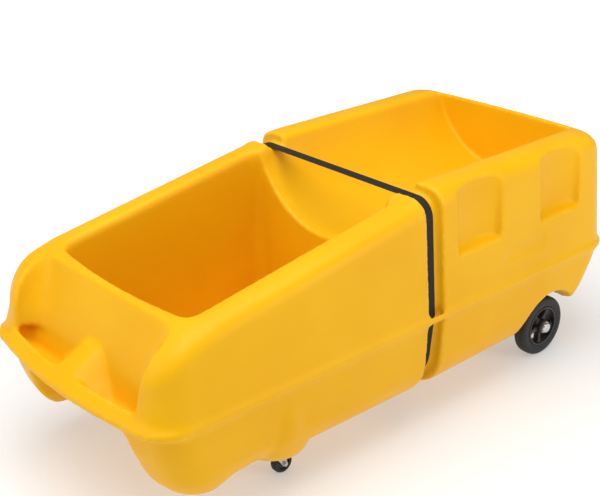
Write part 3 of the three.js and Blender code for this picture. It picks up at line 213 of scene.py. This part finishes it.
plastic = moulded_plastic()

# %% [markdown]
# The solid tub has sharp edges where forms meet. The moulding has none: powder can't fill a sharp corner.
# Bevelling hundreds of cut edges is fragile, so a copy is turned into an even skin of small squares,
# which is then relaxed. The squares come from a grid that lies askew, because an edge that
# runs nearly along the grid would get steps in it.

# %% Skin of small squares
SKIN_SQUARE = 0.006
SKIN_TURN = Matrix.Rotation(math.radians(45), 4, Vector((1, 1, 1)))


def even_skin(node, name):
    """A copy of a solid as one skin of even squares."""
    mesh = frame["nodes"][node].data.copy()
    mesh.transform(SKIN_TURN)
    piece = bpy.data.objects.new(name, mesh)
    bpy.context.scene.collection.objects.link(piece)
    shape = piece.modifiers.new("skin", "REMESH")
    shape.mode = "VOXEL"
    shape.voxel_size = SKIN_SQUARE
    seen = piece.evaluated_get(bpy.context.evaluated_depsgraph_get())
    skin = bpy.data.meshes.new_from_object(seen)
    piece.modifiers.clear()
    piece.data = skin
    skin.transform(SKIN_TURN.inverted())
    skin.materials.clear()
    return piece


# %% [markdown]
# Not every point may move freely. Points close to a fitted piece are held, so everything still seats.
# The skin below the strap is held too and lies a millimetre deeper,
# and the shallow bare panels on both sides keep their outline.

# %% Where the skin is held
SEAT_MARGIN = 0.008
SEATED = ("ratchet_frame", "axle_clamp", "clamp_screw", "axle_spacer", "rear_axle")
SEATED += ("caster_plate", "caster_screw", "caster_kingpin")
STRAP_MIDDLE = 0.0625
STRAP_HALF = 0.0175
STRAP_BED = 0.0012
BED_EDGE = 0.006
CRADLE_AXIS = 0.811
CRADLE_REACH = 0.3
PANELS = [((0.35, side - 0.03, 0.43), (0.562, side + 0.03, 0.498)) for side in (-0.41, 0.41)]


def seat_freedom(points, boxes):
    """0 close to a fitted piece, rising to 1 a little way off."""
    free = np.ones(len(points))
    for low, high in boxes:
        gap = np.maximum(np.maximum(np.array(low) - points, points - np.array(high)), 0)
        off = np.linalg.norm(gap, axis=1)
        free = np.minimum(free, np.clip(off / SEAT_MARGIN - 0.5, 0, 1))
    return free


def strap_bed(points):
    """1 on the skin below the strap, and 0 elsewhere."""
    near = np.clip(1 - (np.abs(points[:, 0] - STRAP_MIDDLE) - STRAP_HALF) / BED_EDGE, 0, 1)
    return near * (np.hypot(points[:, 1], points[:, 2] - CRADLE_AXIS) > CRADLE_REACH)


# %% [markdown]
# Relaxing pulls each point towards its neighbours and then a little back, so that nothing shrinks.
# Only what is curved moves, so flats stay put. Short rounds take the edge off every corner.
# In the long rounds each point is pulled only by the neighbours that face the same way as it does.
# That melts the flats of the big curves together and straightens an edge along its length,
# but doesn't wear it down.

# %% Pulls between neighbours
ALIKE = 0.2
STEADY = 0.1


def points_of(mesh):
    """The mesh's points as rows of metres."""
    points = np.empty(len(mesh.vertices) * 3)
    mesh.vertices.foreach_get("co", points)
    return points.reshape(-1, 3)


def links_of(mesh):
    """Both ends of every edge, and how many neighbours each point has."""
    pairs = np.empty(len(mesh.edges) * 2, np.int32)
    mesh.edges.foreach_get("vertices", pairs)
    first, second = pairs.reshape(-1, 2).T
    size = len(mesh.vertices)
    return first, second, np.bincount(first, minlength=size) + np.bincount(second, minlength=size)


def facing_of(mesh, points):
    """Which way the skin faces at each point, once the mesh has taken on the points."""
    mesh.vertices.foreach_set("co", points.ravel())
    mesh.update()
    facing = np.empty(len(points) * 3)
    mesh.vertex_normals.foreach_get("vector", facing)
    return facing.reshape(-1, 3)


def neighbour_mean(points, first, second, count):
    """The mean of each point's neighbours."""
    size = len(points)
    total = np.empty_like(points)
    for axis in range(points.shape[1]):
        total[:, axis] = np.bincount(first, points[second, axis], size)
        total[:, axis] += np.bincount(second, points[first, axis], size)
    return total / count[:, None]


def spread(values, links, rounds):
    """The values, blurred over the skin."""
    for step in range(rounds):
        values = 0.5 * values + 0.5 * neighbour_mean(values[:, None], *links)[:, 0]
    return values


def pull_of(points, links, likeness):
    """Where each point's neighbours pull it, each of them by its likeness."""
    first, second, _ = links
    size = len(points)
    gaps = (points[second] - points[first]) * likeness[:, None]
    pull = np.empty_like(points)
    for axis in range(3):
        pull[:, axis] = np.bincount(first, gaps[:, axis], size)
        pull[:, axis] -= np.bincount(second, gaps[:, axis], size)
    weight = np.bincount(first, likeness, size) + np.bincount(second, likeness, size)
    return pull / (weight + STEADY)[:, None]


# %% Relaxing
SHORT_ROUNDS = 5
SHORT_PULLS = (0.6, -0.35)
LONG_ROUNDS = 24
LONG_PULLS = (0.6, -0.5)
LAST_PULLS = (0.6, -0.4)
FACING_EVERY = 5
KNOCK_BLUR = 3
KNOCK_FULL = 0.0006


def relaxed(piece, boxes):
    """Relaxes the skin and writes how strongly each point sticks out as the value knock."""
    mesh = piece.data
    points = points_of(mesh)
    links = links_of(mesh)
    first, second, _ = links
    bed = strap_bed(points)
    free = seat_freedom(points, boxes) * (1 - bed)
    all_alike = np.ones(len(first))
    for step in range(SHORT_ROUNDS):
        for pull in SHORT_PULLS:
            points += (free * pull)[:, None] * pull_of(points, links, all_alike)
    free = free * seat_freedom(points, PANELS)
    for step in range(LONG_ROUNDS):
        if step % FACING_EVERY == 0:
            facing = neighbour_mean(facing_of(mesh, points), *links)
            likeness = np.exp(-((facing[first] - facing[second]) ** 2).sum(1) / ALIKE**2)
        for pull in LONG_PULLS:
            points += (free * pull)[:, None] * pull_of(points, links, likeness)
    for pull in LAST_PULLS:
        points += (free * pull)[:, None] * pull_of(points, links, all_alike)
    facing = facing_of(mesh, points)
    stands_out = ((points - neighbour_mean(points, *links)) * facing).sum(1)
    knock = np.clip(spread(stands_out, links, KNOCK_BLUR) / KNOCK_FULL, 0, 1)
    points -= facing * (bed * STRAP_BED)[:, None]
    mesh.vertices.foreach_set("co", points.ravel())
    mesh.attributes.new("knock", "FLOAT", "POINT").data.foreach_set("value", knock)
    mesh.shade_smooth()


# %% [markdown]
# The finished skin has more squares than it needs, because flat parts don't need small ones.
# Merging them keeps the mesh light. A speck of a few faces can lie loose beside the skin,
# so only the largest skin is kept.

# %% Thinning
SKIN_TRIANGLES = 190000


def one_skin_only(mesh):
    """Keeps the largest skin and drops any speck that lies loose beside it."""
    build = bmesh.new()
    build.from_mesh(mesh)
    unseen, skins = set(build.verts), []
    while unseen:
        front = [unseen.pop()]
        skin = list(front)
        while front:
            point = front.pop()
            for edge in point.link_edges:
                other = edge.other_vert(point)
                if other in unseen:
                    unseen.remove(other)
                    front.append(other)
                    skin.append(other)
        skins.append(skin)
    skins.sort(key=len)
    for speck in skins[:-1]:
        bmesh.ops.delete(build, geom=speck, context="VERTS")
    build.to_mesh(mesh)
    build.free()
    print("specks dropped:", len(skins) - 1)


def thinned(piece):
    """Merges squares where the skin is flat."""
    fewer = piece.modifiers.new("fewer", "DECIMATE")
    fewer.ratio = SKIN_TRIANGLES / (2 * len(piece.data.polygons))
    seen = piece.evaluated_get(bpy.context.evaluated_depsgraph_get())
    skin = bpy.data.meshes.new_from_object(seen)
    piece.modifiers.clear()
    piece.data = skin
    one_skin_only(skin)


# %% Tub
tub = even_skin("tub", "tub_moulding")
relaxed(tub, [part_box(n) for n in frame["nodes"] if n.startswith(SEATED)])
thinned(tub)
tub.data.materials.append(plastic)
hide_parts("tub")
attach(tub, "tub_body")
print("tub skin:", len(tub.data.polygons), "faces")

# %% [markdown]
# The strap is woven webbing 35 mm wide, held taut by the ratchet.
# Real webbing has a ribbed face, thick rolled edges and lies tight round the moulding,
# so each length is a ribbon swept along the same path as the solid, with a crowned section.
# The ribs are in the finish: they are far finer than any mesh should be.

# %% Webbing
STRAP_THICK = 0.0024
SECTION_STEPS = 14
PATH_STEP = 0.012
EDGE_FROM = 0.86
ROLL_MIDDLE = 0.84
ROLL_WIDTH = 0.08


def rounded_path(corners):
    """Points at even distances along a line through the corners."""
    corners = [Vector(c) for c in corners]
    points = []
    for start, end in zip(corners, corners[1:]):
        parts = max(1, round((end - start).length / PATH_STEP))
        points += [start.lerp(end, i / parts) for i in range(parts)]
    return points + [corners[-1]]


def webbing_section():
    """The ribbon's cut face: across the strap, and through its thickness from 0 to 1."""
    section = []
    for side in (1, -1):
        for i in range(SECTION_STEPS):
            across = side * (1 - 2 * i / (SECTION_STEPS - 1))
            edge = max(0.0, (abs(across) - EDGE_FROM) / 0.14)
            roll = math.exp(-((abs(across) - ROLL_MIDDLE) / ROLL_WIDTH) ** 2)
            half = 0.5 * math.sqrt(1 - edge * edge * 0.9) * (0.86 + 0.14 * roll)
            section.append((across, 0.5 + side * half))
    return section


def webbing(name, corners, node, body, closed=False):
    """A ribbon along (y, z) corners, whose inner face lies on them."""
    path = rounded_path(corners)
    section = webbing_section()
    mesh = bpy.data.meshes.new(name)
    build = bmesh.new()
    travel = build.loops.layers.uv.new("weave")
    rings, distance = [], 0.0
    for i, here in enumerate(path):
        before = path[i - 1] if i or closed else path[0]
        after = path[(i + 1) % len(path)] if i + 1 < len(path) or closed else path[-1]
        along = (after - before).normalized()
        out = Vector((-along.y, along.x))
        distance += (here - path[i - 1]).length if i else 0.0
        ring = []
        for across, through in section:
            spot = here + out * through * STRAP_THICK
            point = build.verts.new((STRAP_MIDDLE + across * STRAP_HALF, spot.x, spot.y))
            ring.append((point, across * STRAP_HALF, distance))
        rings.append(ring)
    pairs = list(zip(rings, rings[1:])) + ([(rings[-1], rings[0])] if closed else [])
    for near, far in pairs:
        for i in range(len(section)):
            corners_of = [near[i - 1], near[i], far[i], far[i - 1]]
            face = build.faces.new([c[0] for c in corners_of])
            face.smooth = True
            for loop, corner in zip(face.loops, corners_of):
                loop[travel].uv = (corner[1], corner[2])
    if not closed:
        build.faces.new([c[0] for c in rings[0]])
        build.faces.new([c[0] for c in reversed(rings[-1])])
    bmesh.ops.recalc_face_normals(build, faces=build.faces)
    build.to_mesh(mesh)
    build.free()
    ribbon = bpy.data.objects.new(name, mesh)
    bpy.context.scene.collection.objects.link(ribbon)
    mesh.materials.append(woven)
    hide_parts(node)
    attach(ribbon, body)
    print(name, "length", round(distance, 3), "m")
    return ribbon


# %% Woven finish
RIB_WIDTH = 0.0029
PICK_LENGTH = 0.0021


def woven_black():
    """Black polyester webbing: ribs along the strap, crossed by fine picks, with painted shade in the weave's
    hollows.
    """
    cloth = Finish("woven_black", **{"Specular IOR Level": 0.25})
    seen = cloth.node("ShaderNodeUVMap", {"uv_map": "weave"}, {})
    split = cloth.node("ShaderNodeSeparateXYZ", {}, {"Vector": seen}).socket.node
    across, along = Wire(cloth, split.outputs["X"]), Wire(cloth, split.outputs["Y"])
    rib = cloth.node("ShaderNodeMath", {"operation": "SINE"}, {0: across * (2 * math.pi / RIB_WIDTH)})
    weave = along * (2 * math.pi / PICK_LENGTH) + rib * 0.9
    pick = cloth.node("ShaderNodeMath", {"operation": "SINE"}, {0: weave})
    height = rib * 0.3 + pick * 0.2 + 0.5
    dust = cloth.noise(45.0, 4.0)
    # The colour follows the weave's height: painted shade darkens its hollows and painted light brightens its
    # raised threads.
    painted_weave_shade = cloth.blend(cloth.band(height, 0.1, 0.9), (0.006, 0.006, 0.0065), (0.022, 0.021, 0.021))
    cloth.drive(Base_Color=cloth.blend(cloth.band(dust, 0.5, 0.75, 0, 0.3), painted_weave_shade, (0.045, 0.04, 0.036)))
    cloth.drive(Roughness=cloth.band(dust, 0.3, 0.7, 0.5, 0.72))
    cloth.drive(Normal=cloth.bump(height, 0.0005))
    return cloth.material


woven = woven_black()

# %% Straps
def arc(centre, radius, first, last, steps=8):
    """Points on an arc in the YZ plane, in degrees from +Y towards +Z."""
    turns = [math.radians(first + (last - first) * i / steps) for i in range(steps + 1)]
    return [(centre[0] + radius * math.cos(t), centre[1] + radius * math.sin(t)) for t in turns]


shoulder = arc((0.315, 0.653), 0.0543, 90, 0)
belly = arc((0.254, 0.24604), 0.1203, 0, -90, 12)
under = belly + [(-y, z) for y, z in reversed(belly)]
over_path = [(-0.3147, 0.7073)] + shoulder + [(0.37685, 0.5394), (0.3757, 0.520), (0.3758, 0.5165)]
end_loop = arc((0.39015, 0.440), 0.0067, -100, 180, 20)
low_path = end_loop + [(0.3883, 0.367)] + under + [(-0.3883, 0.367), (-0.3693, 0.653)]
low_path += [(-y, z) for y, z in reversed(shoulder)][1:]
webbing("webbing_over", over_path, "strap_over", "strap_over_body")
webbing("webbing_lower", low_path, "strap_lower", "tub_body")
wrap_path = arc((0.388836, 0.520), 0.0083, 180, -180, 24)[:-1]
webbing("webbing_wrap", wrap_path, "strap_wrap", "spool", closed=True)

# %% [markdown]
# Most pieces of the ratchet, axle and casters have the right shape in the solids already, so they stay.
# What they lack is the small rounding that pressed and turned metal has, which catches the light,
# and finishes: blue-white zinc, ground steel, black rubber and black moulded wheel centres.

# %% Small finishes
EDGE_ROUNDING = 0.0005
EDGE_ANGLE = math.radians(35)


def zinc_plate():
    """Bright zinc on pressed steel: cloudy, with a brushed grain."""
    metal = Finish("zinc_plate", Metallic=1.0)
    cloud = metal.noise(90.0, 4.0)
    metal.drive(Base_Color=metal.blend(metal.band(cloud, 0.35, 0.65), (0.55, 0.56, 0.59), (0.72, 0.72, 0.71)))
    metal.drive(Roughness=metal.band(metal.noise(300.0, 3.0), 0.3, 0.7, 0.24, 0.42))
    metal.drive(Normal=metal.bump(metal.noise(700.0, 2.0, stretch=(1, 1, 6)), 0.00005))
    return metal.material


def ground_steel():
    """Bare turned steel, greyer than the zinc, with fine rings of tool marks."""
    metal = Finish("ground_steel", Metallic=1.0)
    marks = metal.noise(500.0, 2.0, stretch=(1, 9, 1))
    metal.drive(Base_Color=metal.blend(marks, (0.38, 0.38, 0.4), (0.55, 0.55, 0.56)))
    metal.drive(Roughness=metal.band(marks, 0.3, 0.7, 0.26, 0.44))
    metal.drive(Normal=metal.bump(marks, 0.00004))
    return metal.material


def black_rubber():
    """Solid rubber tyre: matt, greyed by floor dust where it runs."""
    rubber = Finish("black_rubber", Roughness=0.75)
    dust = rubber.noise(70.0, 6.0, 0.7)
    dusty = rubber.band(dust, 0.5, 0.75)
    rubber.drive(Base_Color=rubber.blend(dusty, (0.012, 0.012, 0.013), (0.05, 0.047, 0.043)))
    rubber.drive(Roughness=rubber.band(dust, 0.3, 0.7, 0.5, 0.8))
    rubber.drive(Normal=rubber.bump(rubber.noise(900.0, 2.0), 0.0001))
    return rubber.material


def black_moulding(name, dark, light, gloss):
    """Hard moulded plastic with a fine spark-eroded grain."""
    shell = Finish(name, Roughness=gloss)
    cloud = shell.noise(35.0, 4.0)
    shell.drive(Base_Color=shell.blend(shell.band(cloud, 0.4, 0.7), dark, light))
    shell.drive(Roughness=shell.band(cloud, 0.3, 0.7, gloss - 0.07, gloss + 0.1))
    shell.drive(Normal=shell.bump(shell.noise(1400.0, 2.0), 0.00006))
    return shell.material


finishes = {
    "zinc": zinc_plate(),
    "steel": ground_steel(),
    "tyre": black_rubber(),
    "wheel_core": black_moulding("wheel_centre", (0.014, 0.014, 0.015), (0.03, 0.03, 0.032), 0.38),
    "nylon": black_moulding("pale_nylon", (0.62, 0.6, 0.55), (0.72, 0.7, 0.66), 0.4),
    "grip": black_moulding("handle_grip_rubber", (0.02, 0.02, 0.022), (0.045, 0.045, 0.047), 0.6),
}
slots = {piece["node"]: piece["material_slot"] for piece in frame["record"]["subparts"]}
for node, solid in frame["nodes"].items():
    if slots[node] not in finishes:
        continue
    solid.data.materials.clear()
    solid.data.materials.append(finishes[slots[node]])
    edge = solid.modifiers.new("rounded_edges", "BEVEL")
    edge.width = EDGE_ROUNDING
    edge.segments = 2
    edge.limit_method = "ANGLE"
    edge.angle_limit = EDGE_ANGLE
    edge.harden_normals = False
print("finished solids:", sum(slots[n] in finishes for n in frame["nodes"]))

# %% [markdown]
# The rear wheels are the only small parts that the picture shows well, so they get a shape of their own.
# The tyre is turned from its cut outline: round shoulders, a ring moulded in each side and two fine
# grooves in the tread. The wheel centre is one moulding, whose five spokes flare where they meet the
# hub and the rim. It is made from a turned rim, a turned hub and five tapering bars,
# which an even skin then joins with the small fillets that a mould has.

# %% Rear wheels
WHEEL_STEPS = 96
TYRE_CUT = [(0.0, 0.1), (0.0076, 0.0999), (0.0082, 0.099), (0.0092, 0.0989), (0.0099, 0.0997)]
TYRE_CUT += [(0.0145, 0.0989), (0.0178, 0.0972), (0.0203, 0.0944), (0.022, 0.0908), (0.0228, 0.0868)]
TYRE_CUT += [(0.023, 0.082), (0.0227, 0.0776), (0.0217, 0.0768), (0.0215, 0.0758), (0.0223, 0.0748)]
TYRE_CUT += [(0.0216, 0.0712), (0.0202, 0.0688), (0.018, 0.067)]
RIM_CUT = [(0.0, 0.0667), (0.0208, 0.0667), (0.0217, 0.0657)]
RIM_CUT += [(0.0217, 0.0622), (0.0205, 0.0603), (0.0, 0.0588)]
HUB_CUT = [(0.0, 0.0246), (0.0247, 0.0228), (0.0272, 0.0214)]
HUB_CUT += [(0.028, 0.0196), (0.028, 0.0138), (0.0, 0.0138)]
SPOKES = 5
SPOKE_TURN = 0.25
SPOKE_ENDS = (0.0205, 0.0612)
SPOKE_HALF_WIDTH = (0.0072, 0.0068)
SPOKE_HALF_DEPTH = (0.0112, 0.0028)
SPOKE_STEPS = 12
SPOKE_SIDES = 16
SPOKE_SQUARENESS = 0.55
CORE_SQUARE = 0.0012
FILLET_ROUNDS = 6


def sleeve(build, rings):
    """Joins each ring of points to the next one with faces."""
    for ring, following in zip(rings, rings[1:]):
        for i in range(len(ring)):
            build.faces.new((ring[i - 1], ring[i], following[i], following[i - 1]))


def capped_sleeve(build, rings):
    """A sleeve whose two ends are closed."""
    sleeve(build, rings)
    build.faces.new(rings[0])
    build.faces.new(rings[-1])


def turned(build, cut, centre):
    """Adds a ring turned about a line along Y, from half its outline as (sideways, radius) points."""
    outline = cut + [(-side, radius) for side, radius in reversed(cut) if side > 0]
    rings = []
    for step in range(WHEEL_STEPS):
        turn = 2 * math.pi * step / WHEEL_STEPS
        across = Vector((math.cos(turn), 0, math.sin(turn)))
        spots = [centre + across * radius + Vector((0, side, 0)) for side, radius in outline]
        rings.append([build.verts.new(spot) for spot in spots])
    sleeve(build, rings + rings[:1])


def spoke(build, centre, turn):
    """Adds a bar from hub to rim, flared at both ends."""
    outward = Vector((math.cos(turn), 0, -math.sin(turn)))
    across = Vector((math.sin(turn), 0, math.cos(turn)))
    rings = []
    for step in range(SPOKE_STEPS + 1):
        share = step / SPOKE_STEPS
        flare = abs(2 * share - 1) ** 3
        spot = centre + outward * (SPOKE_ENDS[0] + (SPOKE_ENDS[1] - SPOKE_ENDS[0]) * share)
        width, depth = (least + more * flare for least, more in (SPOKE_HALF_WIDTH, SPOKE_HALF_DEPTH))
        ring = []
        for i in range(SPOKE_SIDES):
            angle = 2 * math.pi * i / SPOKE_SIDES
            round_corner = (math.cos(angle), math.sin(angle))
            side, front = (math.copysign(abs(v) ** SPOKE_SQUARENESS, v) for v in round_corner)
            ring.append(build.verts.new(spot + across * side * width + Vector((0, front * depth, 0))))
        rings.append(ring)
    capped_sleeve(build, rings)


def small_piece(name, build, node, body):
    """A piece from its built mesh, in the place and the finish of its solid."""
    bmesh.ops.recalc_face_normals(build, faces=build.faces)
    mesh = bpy.data.meshes.new(name)
    build.to_mesh(mesh)
    build.free()
    mesh.shade_smooth()
    mesh.materials.append(finishes[slots[node]])
    piece = bpy.data.objects.new(name, mesh)
    bpy.context.scene.collection.objects.link(piece)
    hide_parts(node)
    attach(piece, body)
    return piece


for side in ("left", "right"):
    low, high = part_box(f"rear_tyre_{side}")
    middle = (Vector(low) + Vector(high)) / 2
    tyre = bmesh.new()
    turned(tyre, TYRE_CUT, middle)
    small_piece(f"tyre_{side}", tyre, f"rear_tyre_{side}", f"rear_wheel_{side}")
    core = bmesh.new()
    turned(core, RIM_CUT, middle)
    turned(core, HUB_CUT, middle)
    for index in range(SPOKES):
        spoke(core, middle, 2 * math.pi * (index + SPOKE_TURN) / SPOKES)
    centre_piece = small_piece(f"wheel_centre_{side}", core, f"rear_rim_{side}", f"rear_wheel_{side}")
    one_skin = centre_piece.modifiers.new("one_skin", "REMESH")
    one_skin.mode = "VOXEL"
    one_skin.voxel_size = CORE_SQUARE
    one_skin.use_smooth_shade = True
    fillet = centre_piece.modifiers.new("fillet", "SMOOTH")
    fillet.iterations = FILLET_ROUNDS
    print("rear wheel:", side, [round(v, 3) for v in middle])

# %% [markdown]
# A short steel spring pushes the pawl into the toothed wheels. It is wound wire whose last turns
# lie close together, so that it stands square on its seat.

# %% Pawl spring
SPRING_RADIUS = 0.0036
WIRE_RADIUS = 0.0007
SPRING_TURNS = 6
TURN_STEPS = 28
WIRE_SIDES = 10
CLOSED_PITCH = 2.1


def wound_wire(foot, top, middle):
    """A spring from its foot to its top, in metres above the floor."""
    build = bmesh.new()
    close = CLOSED_PITCH * WIRE_RADIUS
    first, last = foot + WIRE_RADIUS, top - WIRE_RADIUS
    levels = [first, first + close, last - close, last]
    rings = []
    for step in range(SPRING_TURNS * TURN_STEPS + 1):
        turns = step / TURN_STEPS
        angle = 2 * math.pi * turns
        outward = Vector((math.cos(angle), math.sin(angle), 0))
        height = float(np.interp(turns, [0, 1, SPRING_TURNS - 1, SPRING_TURNS], levels))
        spot = middle + outward * SPRING_RADIUS + Vector((0, 0, height))
        ring = []
        for i in range(WIRE_SIDES):
            side = 2 * math.pi * i / WIRE_SIDES
            off = math.cos(side) * outward + Vector((0, 0, math.sin(side)))
            ring.append(build.verts.new(spot + WIRE_RADIUS * off))
        rings.append(ring)
    capped_sleeve(build, rings)
    return build


low, high = (Vector(corner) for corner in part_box("pawl_spring"))
middle = (low + high) / 2
wire = wound_wire(low.z, high.z, Vector((middle.x, middle.y, 0)))
coil = small_piece("pawl_spring_coil", wire, "pawl_spring", "tub_body")
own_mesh(coil)
print("spring:", round(1000 * (high.z - low.z), 1), "mm long at rest")

# %% [markdown]
# A pale floor and big soft lamps give the even light of a catalogue picture.

# %% Floor and light
FLOOR_HALF = 14
FLOOR_NEAR = 1.0
FLOOR_FAR = 3.2
WORLD_LIGHT = 0.28


def soft_lamp(name, place, aim, size, power):
    """A square lamp that looks at a point."""
    lamp = bpy.data.lights.new(name, "AREA")
    lamp.size = size
    lamp.energy = power
    holder = bpy.data.objects.new(name, lamp)
    holder.location = place
    holder.rotation_euler = (Vector(aim) - Vector(place)).to_track_quat("-Z", "Y").to_euler()
    bpy.context.scene.collection.objects.link(holder)


def pale_floor():
    """A wide floor with a faint cloudiness, which glows softly far out like a lit backdrop."""
    mesh = bpy.data.meshes.new("floor")
    build = bmesh.new()
    bmesh.ops.create_grid(build, x_segments=8, y_segments=8, size=FLOOR_HALF)
    build.to_mesh(mesh)
    build.free()
    paint = Finish("pale_floor", Roughness=0.6, **{"Emission Strength": 1.0})
    paint.drive(Base_Color=paint.blend(paint.noise(0.7), (0.6, 0.6, 0.6), (0.64, 0.64, 0.64)))
    reach = paint.node("ShaderNodeVectorMath", {"operation": "LENGTH"}, {0: paint.place()}, "Value")
    glow = paint.band(reach, FLOOR_NEAR, FLOOR_FAR)
    paint.drive(Emission_Color=paint.blend(glow, (0.36, 0.36, 0.36), (0.85, 0.85, 0.85)))
    mesh.materials.append(paint.material)
    floor = bpy.data.objects.new("floor", mesh)
    bpy.context.scene.collection.objects.link(floor)


pale_floor()
soft_lamp("lamp_above", (-0.8, -0.3, 3.7), (-0.1, 0, 0.3), 3.6, 140)
soft_lamp("lamp_left", (-3.6, 1.2, 2.0), (-0.3, 0, 0.4), 1.8, 22)
soft_lamp("lamp_right", (2.0, -3.6, 1.6), (0.3, 0, 0.4), 2.0, 44)
world = bpy.data.worlds.new("studio")
world.use_nodes = True
world.node_tree.nodes["Background"].inputs["Color"].default_value = (1, 1, 1, 1)
world.node_tree.nodes["Background"].inputs["Strength"].default_value = WORLD_LIGHT
bpy.context.scene.world = world
bpy.context.scene.view_settings.view_transform = "Standard"
